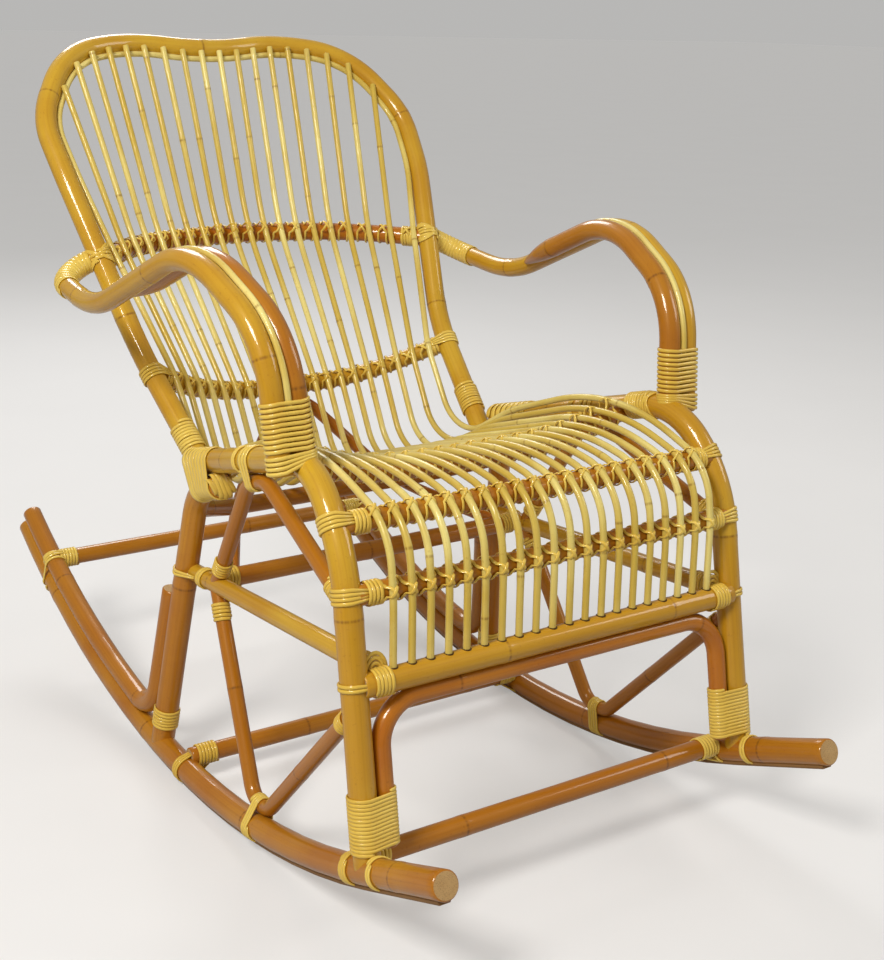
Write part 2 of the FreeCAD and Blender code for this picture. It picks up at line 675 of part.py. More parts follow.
deck_bends = [APRON_BEND, NOSE_BEND, CREST_BEND, SLOPE_BEND, LOW_BEND, WAIST_BEND, RIB_BEND]
rim_half = deck_corners(1) + lining_corners[:-1]
rim_bends = deck_bends + lining_bends
rim = Pole(
    rim_half + lining_corners[-1:] + [mirrored(corner) for corner in reversed(rim_half)],
    rim_bends + [DIP_BEND + lining_offset] + rim_bends[::-1],
    CANE_DIAMETER,
    CANE_SIDES,
    CANE_SAG,
)
deck_rails = [lower_rail, middle_rail, upper_rail, seat_rail, rear_rail, lower_back, upper_back, hoop]
save("rim_cane", seated(rim.solid(), deck_rails))
lining = Pole(
    lining_corners + [mirrored(corner) for corner in reversed(lining_corners[:-1])],
    lining_bends[1:] + [DIP_BEND + lining_offset] + lining_bends[:0:-1],
    CANE_DIAMETER,
    CANE_SIDES,
    CANE_SAG,
)

# Inner canes, in mirrored pairs counted from the middle
inner_count = CANE_COUNT // 2 - 1
for number in range(inner_count):
    share = (2 * number + 1) / (CANE_COUNT - 1)
    top = lining.where("x", DECK_TOP * (2 * number + 1) / (2 * inner_count - 1))
    cane = Pole(deck_corners(share) + [top], deck_bends, CANE_DIAMETER, CANE_SIDES, CANE_SAG)
    solid = seated(cane.solid(), deck_rails + [lining])
    save(f"deck_cane_{number + 1}", solid, mirrored(solid))


# Plain lashings: sleeves of strand round the joints
def wrap(pole, start, end, neighbours):
    """A lashing round a straight stretch of a pole, clear of what passes beside it."""
    sleeve = Pole([start, end], [], pole.diameter + 2 * STRAND_THICKNESS, WRAP_SIDES)
    return seated(sleeve.solid(), [pole, *neighbours])


def end_wrap(pole, carrier_diameter, length, neighbours):
    """A lashing round a cross piece, beside the pole that carries its end."""
    start = pole.points[0] - Vector(carrier_diameter / 2 + WRAP_CLEARANCE, 0, 0)
    return wrap(pole, start, start - Vector(length, 0, 0), neighbours)


def save_both(name, solids):
    save(name, *solids, *[mirrored(solid) for solid in solids])


save_both("rail_lashings", [
    end_wrap(upper_rail, LEG_DIAMETER, RAIL_WRAP_LENGTH, [front_leg]),
    end_wrap(middle_rail, LEG_DIAMETER, RAIL_WRAP_LENGTH, [front_leg]),
    end_wrap(lower_rail, LEG_DIAMETER, RAIL_WRAP_LENGTH, [front_leg, side_stretcher, front_arch]),
])
save_both("stretcher_lashings", [
    end_wrap(front_stretcher, ROCKER_DIAMETER, STRETCHER_WRAP_LENGTH, [rocker, front_leg, front_arch]),
    end_wrap(lower_stretcher, ROCKER_DIAMETER, STRETCHER_WRAP_LENGTH, [rocker]),
    end_wrap(rear_stretcher, HEEL_BRACE_DIAMETER, STRETCHER_WRAP_LENGTH, [heel_brace]),
])
hoop_wrap_ends = [hoop.where("z", HOOP_WRAP_HEIGHT), hoop.where("z", HOOP_WRAP_TOP)]
save_both("hoop_lashings", [wrap(hoop, *hoop_wrap_ends, [front_leg])])
leg_wrap_ends = [rear_leg.where("z", LEG_WRAP_HEIGHT), rear_leg.where("z", LEG_WRAP_TOP)]
save_both("heel_lashings", [wrap(rear_leg, *leg_wrap_ends, [heel_brace, rocker])])
elbow_turn = (ARM_ELBOW - arm_start).getAngle(ARM_DIP - ARM_ELBOW)
elbow_reach = ARM_BENDS[0] * math.tan(elbow_turn / 2) + ELBOW_WRAP_RUN
elbow_end = ARM_ELBOW + unit(ARM_DIP - ARM_ELBOW) * elbow_reach
elbow = Pole([arm_start, ARM_ELBOW, elbow_end], ARM_BENDS[:1], ARM_DIAMETER + 2 * STRAND_THICKNESS, WRAP_SIDES)
save_both("elbow_lashings", [seated(elbow.solid(), [outer_arm, hoop, upper_back])])

# Foot lashings hold each front leg and the foot of the arch together
leg_low = front_leg.where("z", FOOT_WRAP_HEIGHT)
arch_low = front_arch.where("z", FOOT_WRAP_HEIGHT)
oval = []
for centre, diameter, first_angle in ((leg_low, LEG_DIAMETER, -90), (arch_low, ARCH_DIAMETER, 90)):
    for k in range(WRAP_SIDES // 2 + 1):
        angle = math.radians(first_angle + 360 * k / WRAP_SIDES)
        reach = diameter / 2 + STRAND_THICKNESS
        oval.append(centre + Vector(reach * math.cos(angle), reach * math.sin(angle), 0))
foot_rise = unit(shin - front_foot) * FOOT_WRAP_LENGTH
foot_wrap = Part.Face(Part.makePolygon(oval + oval[:1])).extrude(foot_rise)
save_both("foot_lashings", [seated(foot_wrap, [front_leg, front_arch])])

# Rest: the chair leans on the curve of its rockers until its centre of mass is over the point of rest
solids = [solid for group in nodes.values() for solid in group]
volume = sum(solid.Volume for solid in solids)
balance = sum((solid.CenterOfMass * solid.Volume for solid in solids), Vector()) / volume
lean = math.degrees(math.atan2(balance.y, rocker_centre.z - balance.z))
print(f"leans back {lean:.3f} degrees at rest")
for name, group in nodes.items():
    shape = group[0] if len(group) == 1 else Part.makeCompound(group)
    shape.rotate(rocker_centre, Vector(1, 0, 0), -lean)
    shape.exportStep(f"parts/{name}.step")
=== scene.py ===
import bisect
import math
import random

import bpy
from mathutils import Matrix, Vector


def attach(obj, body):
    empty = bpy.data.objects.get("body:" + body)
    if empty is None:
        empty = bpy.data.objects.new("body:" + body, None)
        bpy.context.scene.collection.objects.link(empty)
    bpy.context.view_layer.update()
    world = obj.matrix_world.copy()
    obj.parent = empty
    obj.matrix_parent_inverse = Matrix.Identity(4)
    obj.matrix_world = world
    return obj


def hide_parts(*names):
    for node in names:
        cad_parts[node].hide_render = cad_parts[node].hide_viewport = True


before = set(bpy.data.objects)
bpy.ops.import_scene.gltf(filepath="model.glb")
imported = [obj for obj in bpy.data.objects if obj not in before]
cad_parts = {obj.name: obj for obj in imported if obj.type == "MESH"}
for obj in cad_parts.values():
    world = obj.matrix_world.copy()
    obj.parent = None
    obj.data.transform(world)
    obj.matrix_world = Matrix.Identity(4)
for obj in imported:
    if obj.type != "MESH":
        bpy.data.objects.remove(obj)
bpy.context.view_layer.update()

BODY = "root"
X, Y, Z = 0, 1, 2

# Sizes are in millimetres, with the chair level on its rockers; it then leans back to where it balances
METRE = 0.001
LEAN = math.radians(2.452)

# Pole, cane and strand thicknesses
ROCKER_DIAMETER = 30
LEG_DIAMETER = 29
HOOP_DIAMETER = 27
ARM_DIAMETER = 25
HEEL_BRACE_DIAMETER = 26
FRONT_RAIL_DIAMETER = 22
LOWER_RAIL_DIAMETER = 26
ARCH_DIAMETER = 21
SEAT_RAIL_DIAMETER = 22
BACK_RAIL_DIAMETER = 24
STRETCHER_DIAMETER = 23
SIDE_STRETCHER_DIAMETER = 22
BRACE_DIAMETER = 18
PROP_DIAMETER = 16
CANE_DIAMETER = 8
FILLER_DIAMETER = 7
STRAND_WIDTH = 4.2
STRAND_THICKNESS = 2.4
FLAT_STRAND_WIDTH = 6.4
FAN_STRAND_WIDTH = 9
TIE_WIDTH = 3.2
TIE_THICKNESS = 1.8
TIE_LIFT = 0.5
TIE_REACH = 6
TIE_SWING = 24
WIDE_TIE_WIDTH = 4.2
WIDE_TIE_REACH = 8.5
WIDE_TIE_SWING = 40
SEAT_GAP = 0.2
NOTCH = 1

# Rockers and their soles
ROCKER_SPACING = 512
ROCKER_RADIUS = 1066
FRONT_FOOT_REACH = 358
REAR_FOOT_REACH = 146
REAR_TIP_REACH = 604
FRONT_TIP_LENGTH = 147
SOLE_THICKNESS = 5
SOLE_WIDTH = 14
SOLE_BED = 2
SOLE_SETBACK = 8

# Front legs with the seat's side rails, and rear legs with their heel braces
SHIN = Vector((252, -314, 402))
SHIN_BEND = 170
KNEE = Vector((244.5, -240, 480))
KNEE_BEND = 90
RAIL_END = Vector((223, 88, 406))
HIP_REACH = 82
HIP_BEND = 60
HIP_RUN = 75
HEEL_BEND = 45
HEEL_REACH = 246
HEEL_BRACE_TOP = 236

# Back hoop
HOOP_FOOT_REACH = 84
HOOP_FOOT_HEIGHT = 379
HOOP_NOTCH = 7
WAIST = Vector((224, 228, 517))
SHOULDER_LOW = Vector((264, 338, 722))
SHOULDER = Vector((272, 393, 797))
HUMP_OUTER = Vector((215, 454, 880))
HUMP = Vector((110, 488, 895))
DIP = Vector((0, 474, 883))
HOOP_BENDS = [300, 300, 120, 140, 180]
DIP_BEND = 350
HOOP_MIDDLE = Vector((0, 360, 740))

# Arms
ARM_HEIGHT_AT_HOOP = 631
ARM_ELBOW = Vector((298, 322, 611))
ARM_DIP = Vector((305, 165, 586))
ARM_CREST = Vector((297, -82, 679))
ARM_FRONT = Vector((280, -214, 604))
ARM_FOOT_REACH = 228
ARM_FOOT_HEIGHT = 452
ARM_FOOT_TRIM = 12
ARM_BENDS = [40, 200, 130, 110]
INNER_ARM_START = 110
INNER_ARM_SCARF = 80
FILLER_START = 50
FILLER_TUCK = 10

# Cross rails
LOWER_RAIL_HEIGHT = 270
MIDDLE_RAIL_HEIGHT = 360
UPPER_RAIL_HEIGHT = 425
RAIL_FORWARD = 6
RAIL_INSET = 5
SEAT_RAIL_REACH = 160
SEAT_RAIL_DROP = 6
SEAT_RAIL_BOW = 27
SEAT_RAIL_CORNER = 120
SEAT_RAIL_BEND = 260
REAR_RAIL_HEIGHT = 350
REAR_RAIL_CORNER = Vector((140, 150, 322))
REAR_RAIL_BEND = 110
UPPER_BACK_DROP = 4
UPPER_BACK_CORNER = Vector((165, 85, 7))
UPPER_BACK_CREST = Vector((0, 133, 11))
UPPER_BACK_BENDS = [200, 400]
LOWER_BACK_HEIGHT = 492
LOWER_BACK_CORNER = Vector((110, 254, 446))
LOWER_BACK_BEND = 250
ARCH_BEND = 48
ARCH_FOOT_HEIGHT = 100

# Stretchers, braces and prop
FRONT_STRETCHER_REACH = 330
FRONT_STRETCHER_LIFT = 8
LOWER_STRETCHER_REACH = 75
LOWER_STRETCHER_LIFT = 14
MIDDLE_STRETCHER_REACH = 40
REAR_STRETCHER_REACH = 505
SIDE_STRETCHER_REAR_HEIGHT = 268
SIDE_STRETCHER_FRONT_LIFT = 11
UPPER_BRACE_REAR = 74
UPPER_BRACE_FRONT = 122
UPPER_BRACE_BEND = 50
UPPER_BRACE_END_HEIGHT = 348
LOWER_BRACE_REAR = 94
LOWER_BRACE_FRONT = 130
LOWER_BRACE_INSET = 8
LOWER_BRACE_BEND = 30
LOWER_BRACE_END_HEIGHT = 245
BRACE_FOOT_REACH = 26
PROP_FOOT = 200
PROP_KNEE = Vector((120, 190, 312))
PROP_KNEE_BEND = 150
PROP_TOP = Vector((0, 262, 446))
PROP_TOP_BEND = 40

# Cane deck
CANE_COUNT = 20
DECK_FRONT = 212
DECK_REAR = 186
DECK_WAIST = 190
DECK_RIB = 226
DECK_TOP = 232
CREST_REACH = 168
CREST_HEIGHT = 490
SLOPE_REACH = 20
SLOPE_HEIGHT = 430
LOW_REACH = 126
LOW_HEIGHT = 369
LOW_BOWL = 45
CREST_DISH = 34
CREST_DISH_FORWARD = 40
SLOPE_DISH = 30
NOSE_SETBACK = 8
DECK_BENDS = [300, 68, 300, 250, 65, 220, 300]
BACK_LEAN = math.radians(55)
CANE_END_LAP = 7

# Bindings, with heights at the arm and the foot
BINDING_TURNS = 10
BINDING_FOOT = 466
BINDING_BASE = 488
BINDING_TOP = 540
FOOT_TURNS = 15
FOOT_WRAP_BASE = 101
FOOT_WRAP_TOP = 160

# Lashings, with heights, reaches along Y, and distances along their poles
KNEE_TURNS = 4
KNEE_TURNS_BASE = 476
KNEE_TIE_REACH = 204
KNEE_TIE_LEAN = 9
KNEE_LASH_REACH = 208
FOOT_LASH_REAR = 338
FOOT_LASH_FRONT = 386
RAIL_LASH_START = 11
RAIL_HITCH = 22
HITCH_SINK = 2
SIDE_LASH_LENGTH = 26
STRETCHER_LASH_LAP = 6
STRETCHER_HITCH = 10
MIDDLE_LASH_START = 12
HOOP_LASH_HEIGHT = 410
CORNER_RAIL_SPAN = (4, 82)
CORNER_LEG_SPAN = (62, 3)
BACK_HITCH = 26
BACK_LASH_START = 15
HEEL_LASH_HEIGHT = 54
HEEL_ROCKER_SPAN = (500, 520)
HEEL_BRACE_SPAN = (490, 510)
ELBOW_START = 14
ELBOW_TURNS = 12
ELBOW_THICKNESS = 1.8
ELBOW_SPREAD = 0.98
ELBOW_LEANS = (9, 12, -9, -12)
ELBOW_BAND_BACK = 8
BRACE_BAND_SHIFT = 20
BRACE_TOP_RAIL = 12
BRACE_TOP_BRACE = 9
BRACE_LOW = 9
BRACE_LASH_START = 22
BRACE_LASH_END = 38
SIDE_HITCH = 24
SIDE_BAND_START = 30

# Knots of the rattan, and mesh fineness
FRONT_LEG_KNOT = 337
SIDE_RAIL_KNOT = -30
POLE_KNOT_SPACING = 260
CANE_KNOT_SPACING = 210
POLE_KNOT_SWELL = 0.03
CANE_KNOT_SWELL = 0.09
ARC_STEP = math.radians(3)
POLE_SIDES = 28
CANE_SIDES = 14
STRAND_SIDES = 8
TURN_STEPS = 26
TURN_SPREAD = 1.03
BAND_SPREAD = 1.05
RUN_STEP = 12
KNOT_OFFSETS = (-9, -6, -4, -2.4, -1.3, -0.6, 0, 0.6, 1.3, 2.4, 4, 6, 9)

rocker_low = SOLE_THICKNESS + ROCKER_DIAMETER / 2 - SOLE_BED
rocker_centre = Vector((ROCKER_SPACING / 2, 0, rocker_low + ROCKER_RADIUS))


def at_rest(place):
    """A level place in millimetres, moved to where the balanced chair has it, in metres."""
    low = place.z - rocker_centre.z
    y = place.y * math.cos(LEAN) + low * math.sin(LEAN)
    z = rocker_centre.z - place.y * math.sin(LEAN) + low * math.cos(LEAN)
    return Vector((place.x, y, z)) * METRE


def mirrored(place):
    return Vector((-place.x, place.y, place.z))


def add_object(name, data):
    thing = bpy.data.objects.new(name, data)
    bpy.context.scene.collection.objects.link(thing)
    return thing


class Line:
    """A centre line of straight runs joined by tangent arcs."""

    def __init__(self, corners, bends):
        self.places = [corners[0]]
        self.headings = [(corners[1] - corners[0]).normalized()]
        for before, corner, after, radius in zip(corners, corners[1:], corners[2:], bends):
            heading = (corner - before).normalized()
            leaving = (after - corner).normalized()
            turn = heading.angle(leaving)
            toward = heading.cross(leaving).cross(heading).normalized()
            centre = corner - heading * radius * math.tan(turn / 2) + toward * radius
            count = math.ceil(turn / ARC_STEP) + 1
            for k in range(count + 1):
                angle = turn * k / count
                spoke = heading * math.sin(angle) - toward * math.cos(angle)
                self.places.append(centre + spoke * radius)
                self.headings.append(heading * math.cos(angle) + toward * math.sin(angle))
        self.places.append(corners[-1])
        self.headings.append((corners[-1] - corners[-2]).normalized())
        self.marks = [0.0]
        for first, second in zip(self.places, self.places[1:]):
            self.marks.append(self.marks[-1] + (second - first).length)
        self.length = self.marks[-1]
        side = self.headings[0].orthogonal().normalized()
        self.sides = [side]
        for first, second in zip(self.headings, self.headings[1:]):
            side = first.rotation_difference(second) @ side
            self.sides.append(side)

    def at(self, distance):
        """The place, heading and sideways direction at a distance along the line."""
        k = min(max(bisect.bisect_right(self.marks, distance) - 1, 0), len(self.marks) - 2)
        run = self.marks[k + 1] - self.marks[k]
        share = (distance - self.marks[k]) / run if run > 1e-6 else 0.0
        place = self.places[k].lerp(self.places[k + 1], share)
        heading = self.headings[k].lerp(self.headings[k + 1], min(max(share, 0), 1)).normalized()
        side = self.sides[k].lerp(self.sides[k + 1], min(max(share, 0), 1))
        return place, heading, (side - heading * side.dot(heading)).normalized()

    def mark(self, axis, value):
        """The first distance at which x, y or z (axis 0, 1 or 2) has this value."""
        for k, (first, second) in enumerate(zip(self.places, self.places[1:])):
            low, high = first[axis], second[axis]
            if low != high and (low - value) * (high - value) <= 0:
                return self.marks[k] + (self.marks[k + 1] - self.marks[k]) * (value - low) / (high - low)
        raise ValueError(f"the line has no place at {axis} = {value}")

    def span(self, axis, first, second):
        return self.mark(axis, first), self.mark(axis, second)

    def where(self, axis, value):
        return self.at(self.mark(axis, value))[0]

    def mirrored(self):
        other = Line.__new__(Line)
        other.places = [mirrored(place) for place in self.places]
        other.headings = [mirrored(heading) for heading in self.headings]
        other.sides = [mirrored(side) for side in self.sides]
        other.marks = self.marks
        other.length = self.length
        return other


def circle(sides):
    turns = [2 * math.pi * k / sides for k in range(sides)]
    return [(math.cos(turn), math.sin(turn)) for turn in turns]


class Piece:
    """One object of the chair: swept tubes gathered into one mesh, with marks for its material."""

    def __init__(self, name):
        self.name = name
        self.vertices = []
        self.faces = []
        self.face_uvs = []
        self.end_faces = []
        self.knots = []
        self.tints = []

    def ring(self, centre, side, other, outline, knot, tint):
        first = len(self.vertices)
        self.vertices += [centre + side * across + other * up for across, up in outline]
        self.knots += [knot] * len(outline)
        self.tints += [tint] * len(outline)
        return first

    def join(self, first, second, sides, u_step, v_first, v_second):
        for k in range(sides):
            after = (k + 1) % sides
            self.faces.append((first + k, first + after, second + after, second + k))
            u, u_after = k * u_step, (k + 1) * u_step
            self.face_uvs.append(((u, v_first), (u_after, v_first), (u_after, v_second), (u, v_second)))

    def cap(self, centre, side, other, outline, tint, reverse):
        """A sawn end, with its own edge so that it shades flat."""
        first = self.ring(centre, side, other, outline, 0.0, tint)
        order = list(range(len(outline)))
        if reverse:
            order.reverse()
        self.end_faces.append(len(self.faces))
        self.faces.append(tuple(first + k for k in order))
        self.face_uvs.append(tuple((outline[k][0] * METRE, outline[k][1] * METRE) for k in order))

    def pole(self, line, diameter, sides, knots, tints, swell=POLE_KNOT_SWELL,
             scarf=0.0, scarf_side=Vector()):
        """A pole along a line, thickened at its knots, with eased sawn ends and a tint for each stretch.

        Over the length of a scarf its start is pared down towards one side.
        """
        radius = diameter / 2
        ease = diameter * 0.06
        stations = {0.0, ease / 3, ease, line.length - ease, line.length - ease / 3, line.length}
        count = math.ceil(line.length / RUN_STEP)
        stations.update(line.length * k / count for k in range(count + 1))
        stations.update(line.marks)
        for knot in knots:
            stations.update(knot + offset for offset in KNOT_OFFSETS if 0 < knot + offset < line.length)
        stations = sorted(stations)
        stations = [first for first, second in zip(stations, stations[1:]) if second - first > 0.05]
        unit_ring = circle(sides)
        before = None
        for distance in stations + [line.length]:
            centre, heading, side = line.at(distance)
            other = heading.cross(side)
            nearest = min((abs(distance - knot) for knot in knots), default=line.length)
            knot_near = math.exp(-((nearest / 1.7) ** 2))
            swelling = math.exp(-((nearest / 6) ** 2)) - 0.3 * knot_near
            tint = tints[bisect.bisect(knots, distance)]
            phase = tints[0] * 90
            wander = 0.008 * math.sin(distance / 71 + phase) + 0.006 * math.sin(distance / 29 + phase * 2)
            size = radius * (1 + wander + swell * swelling)
            if distance < scarf:
                size *= 0.25 + 0.75 * math.sin(math.pi / 2 * distance / scarf)
                centre = centre + scarf_side * (radius - size)
            nearest_end = min(distance, line.length - distance)
            if nearest_end < ease:
                size -= ease * 0.9 * (1 - nearest_end / ease) ** 2
            outline = [(across * size, up * size) for across, up in unit_ring]
            ring = self.ring(centre, side, other, outline, knot_near, tint)
            v = distance * METRE + tints[0] * 3.7
            if before is None:
                self.cap(centre, side, other, outline, tint, True)
            else:
                self.join(before[0], ring, sides, math.pi * diameter * METRE / sides, before[1], v)
            before = (ring, v)
        self.cap(centre, side, other, outline, tint, False)

    def strip(self, line, width, thickness, tint):
        """A flat strip under a line, level across."""
        edge = thickness / 5
        half, low = width / 2, thickness / 2
        corner_pairs = [(half, low - edge), (half - edge, low), (edge - half, low), (-half, low - edge)]
        outline = corner_pairs + [(-across, -up) for across, up in corner_pairs]
        side = Vector((1, 0, 0))
        before = None
        count = math.ceil(line.length / RUN_STEP)
        for k in range(count + 1):
            distance = line.length * k / count
            centre, heading, _ = line.at(distance)
            ring = self.ring(centre, side, heading.cross(side), outline, 0.0, tint)
            if before is None:
                self.cap(centre, side, heading.cross(side), outline, tint, True)
            else:
                v = distance * METRE
                step = line.length * METRE / count
                self.join(before, ring, len(outline), width * METRE / 3, v - step, v)
            before = ring
        self.cap(centre, side, heading.cross(side), outline, tint, False)

    def strand(self, places, outward, tint, width, thickness):
        """A strand of peel through places, its flat side turned from each outward direction."""
        v = tint * 5.1
        before = None
        unit_ring = circle(STRAND_SIDES)
        for k, (place, out) in enumerate(zip(places, outward)):
            heading = (places[min(k + 1, len(places) - 1)] - places[max(k - 1, 0)]).normalized()
            side = heading.cross(out).normalized()
            up = side.cross(heading)
            taper = 0.5 if k in (0, len(places) - 1) else 1.0
            outline = [(a * width / 2 * taper, b * thickness / 2 * taper) for a, b in unit_ring]
            ring = self.ring(place, side, up, outline, 0.0, tint)
            if before is None:
                self.faces.append(tuple(ring + n for n in reversed(range(STRAND_SIDES))))
                self.face_uvs.append(tuple((0.0, v) for n in range(STRAND_SIDES)))
            else:
                v_next = v + (place - places[k - 1]).length * METRE
                self.join(before, ring, STRAND_SIDES, 3 * width * METRE / STRAND_SIDES, v, v_next)
                v = v_next
            before = ring
        self.faces.append(tuple(before + n for n in range(STRAND_SIDES)))
        self.face_uvs.append(tuple((0.0, v) for n in range(STRAND_SIDES)))

    def add_mirror_image(self):
        """The same tubes on the other side of the chair."""
        count = len(self.vertices)
        self.vertices += [mirrored(vertex) for vertex in self.vertices]
        self.knots += self.knots
        self.tints += self.tints
        self.end_faces += [len(self.faces) + face for face in self.end_faces]
        self.faces += [tuple(count + corner for corner in reversed(face)) for face in self.faces]
        self.face_uvs += [tuple(reversed(uvs)) for uvs in self.face_uvs]

    def build(self, material, slot, nodes, end_material=None):
        mesh = bpy.data.meshes.new(self.name)
        mesh.from_pydata([at_rest(vertex) for vertex in self.vertices], [], self.faces)
        layer = mesh.uv_layers.new(name="run")
        layer.data.foreach_set("uv", [value for face in self.face_uvs for uv in face for value in uv])
        for name, values in (("knot", self.knots), ("tint", self.tints)):
            mesh.attributes.new(name, "FLOAT", "POINT").data.foreach_set("value", values)
        mesh.polygons.foreach_set("use_smooth", [True] * len(self.faces))
        mesh.materials.append(material)
        mesh.materials.append(end_material or material)
        for face in self.end_faces:
            mesh.polygons[face].material_index = 1
            mesh.polygons[face].use_smooth = False
        mesh.validate()
        piece = add_object(self.name, mesh)
        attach(piece, BODY)
        if nodes:
            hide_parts(*nodes)


# Finishes; the amber and orange ones are darkened partly by painted shade, and the peg hole one is painted
# shade
def socket_group(name, inputs, outputs):
    """An empty shader node group with named sockets."""
    group = bpy.data.node_groups.new(name, "ShaderNodeTree")
    for label, value in inputs:
        socket = group.interface.new_socket(label, in_out="INPUT", socket_type="NodeSocketFloat")
        socket.default_value = value
    for label in outputs:
        group.interface.new_socket(label, in_out="OUTPUT", socket_type="NodeSocketFloat")
    return group, group.nodes.new("NodeGroupInput"), group.nodes.new("NodeGroupOutput")


def grain_group():
    """Streaks and fine fibres along the run of a pole."""
    inputs = [("Across", 900.0), ("Along", 14.0)]
    group, entry, leave = socket_group("rattan_grain", inputs, ["Streaks", "Fibres"])
    nodes, links = group.nodes, group.links
    run = nodes.new("ShaderNodeUVMap")
    run.uv_map = "run"
    stretch = nodes.new("ShaderNodeCombineXYZ")
    links.new(entry.outputs["Across"], stretch.inputs["X"])
    links.new(entry.outputs["Along"], stretch.inputs["Y"])
    scaled = nodes.new("ShaderNodeVectorMath")
    scaled.operation = "MULTIPLY"
    links.new(run.outputs["UV"], scaled.inputs[0])
    links.new(stretch.outputs["Vector"], scaled.inputs[1])
    for label, scale, detail in (("Streaks", 0.35, 3.0), ("Fibres", 2.2, 2.0)):
        texture = nodes.new("ShaderNodeTexNoise")
        texture.inputs["Scale"].default_value = scale
        texture.inputs["Detail"].default_value = detail
        links.new(scaled.outputs["Vector"], texture.inputs["Vector"])
        links.new(texture.outputs["Fac"], leave.inputs[label])
    return group


def patch_group():
    """Slow changes of tone over the chair, and small specks."""
    group, entry, leave = socket_group("age_patches", [("Scale", 9.0)], ["Patches", "Specks"])
    nodes, links = group.nodes, group.links
    place = nodes.new("ShaderNodeTexCoord")
    patches = nodes.new("ShaderNodeTexNoise")
    patches.inputs["Detail"].default_value = 4.0
    links.new(place.outputs["Object"], patches.inputs["Vector"])
    links.new(entry.outputs["Scale"], patches.inputs["Scale"])
    specks = nodes.new("ShaderNodeTexNoise")
    specks.inputs["Scale"].default_value = 330.0
    specks.inputs["Detail"].default_value = 1.0
    links.new(place.outputs["Object"], specks.inputs["Vector"])
    sharp = nodes.new("ShaderNodeMapRange")
    sharp.inputs["From Min"].default_value = 0.66
    sharp.inputs["From Max"].default_value = 0.78
    links.new(specks.outputs["Fac"], sharp.inputs["Value"])
    links.new(patches.outputs["Fac"], leave.inputs["Patches"])
    links.new(sharp.outputs["Result"], leave.inputs["Specks"])
    return group


RELIEF_DEPTH = 0.0004
GRAIN = grain_group()
PATCHES = patch_group()


def placed(tree, group):
    node = tree.nodes.new("ShaderNodeGroup")
    node.node_tree = group
    return node


def mixed(tree, factor, first, second):
    """A colour between two colours; factor is a socket, first and second are sockets or colours."""
    mix = tree.nodes.new("ShaderNodeMix")
    mix.data_type = "RGBA"
    tree.links.new(factor, mix.inputs["Factor"])
    for value, socket in ((first, mix.inputs["A"]), (second, mix.inputs["B"])):
        if isinstance(value, bpy.types.NodeSocket):
            tree.links.new(value, socket)
        else:
            socket.default_value = (*value, 1.0)
    return mix.outputs["Result"]


def ranged(tree, value, low, high, to_low, to_high):
    """A value moved from one range to another, held at its ends."""
    node = tree.nodes.new("ShaderNodeMapRange")
    tree.links.new(value, node.inputs["Value"])
    for label, number in zip(("From Min", "From Max", "To Min", "To Max"), (low, high, to_low, to_high)):
        node.inputs[label].default_value = number
    return node.outputs["Result"]


def multiplied(tree, first, second):
    node = tree.nodes.new("ShaderNodeMath")
    node.operation = "MULTIPLY"
    tree.links.new(first, node.inputs[0])
    tree.links.new(second, node.inputs[1])
    return node.outputs["Value"]


def marked(tree, name):
    node = tree.nodes.new("ShaderNodeAttribute")
    node.attribute_name = name
    return node.outputs["Fac"]


def new_material(name):
    """A material, its node tree and its shader."""
    material = bpy.data.materials.new(name)
    material.use_nodes = True
    return material, material.node_tree, material.node_tree.nodes["Principled BSDF"]


def add_relief(tree, shader, height, strength):
    """Fine bumps on a shader's surface."""
    relief = tree.nodes.new("ShaderNodeBump")
    relief.inputs["Strength"].default_value = strength
    relief.inputs["Distance"].default_value = RELIEF_DEPTH
    tree.links.new(height, relief.inputs["Height"])
    tree.links.new(relief.outputs["Normal"], shader.inputs["Normal"])


def rattan(name, pale, warm, deep, ring, across, streak_strength, roughness, coat, bump):
    """A varnished rattan finish: patches of tone, streaks, broken dark rings at the knots, gloss."""
    material, tree, shader = new_material(name)
    grain = placed(tree, GRAIN)
    grain.inputs["Across"].default_value = across
    patches = placed(tree, PATCHES)
    tone = mixed(tree, ranged(tree, patches.outputs["Patches"], 0.38, 0.62, 0.0, 0.85), pale, warm)
    tone = mixed(tree, ranged(tree, marked(tree, "tint"), 0.2, 1.0, 0.0, 0.8), tone, warm)
    streak = ranged(tree, grain.outputs["Streaks"], 0.45, 0.75, 0.0, streak_strength)
    tone = mixed(tree, streak, tone, deep)
    tone = mixed(tree, ranged(tree, patches.outputs["Specks"], 0.0, 1.0, 0.0, 0.35), tone, deep)
    broken = ranged(tree, grain.outputs["Streaks"], 0.35, 0.6, 0.15, 0.75)
    knot = multiplied(tree, ranged(tree, marked(tree, "knot"), 0.2, 0.95, 0.0, 1.0), broken)
    tone = mixed(tree, knot, tone, ring)
    tree.links.new(tone, shader.inputs["Base Color"])
    shine = ranged(tree, grain.outputs["Fibres"], 0.3, 0.7, roughness - 0.06, roughness + 0.1)
    tree.links.new(shine, shader.inputs["Roughness"])
    shader.inputs["Specular IOR Level"].default_value = 0.3
    shader.inputs["Specular Tint"].default_value = (1.0, 0.8, 0.45, 1)
    shader.inputs["Coat Weight"].default_value = coat
    shader.inputs["Coat Roughness"].default_value = 0.06
    add_relief(tree, shader, grain.outputs["Fibres"], bump)
    return material


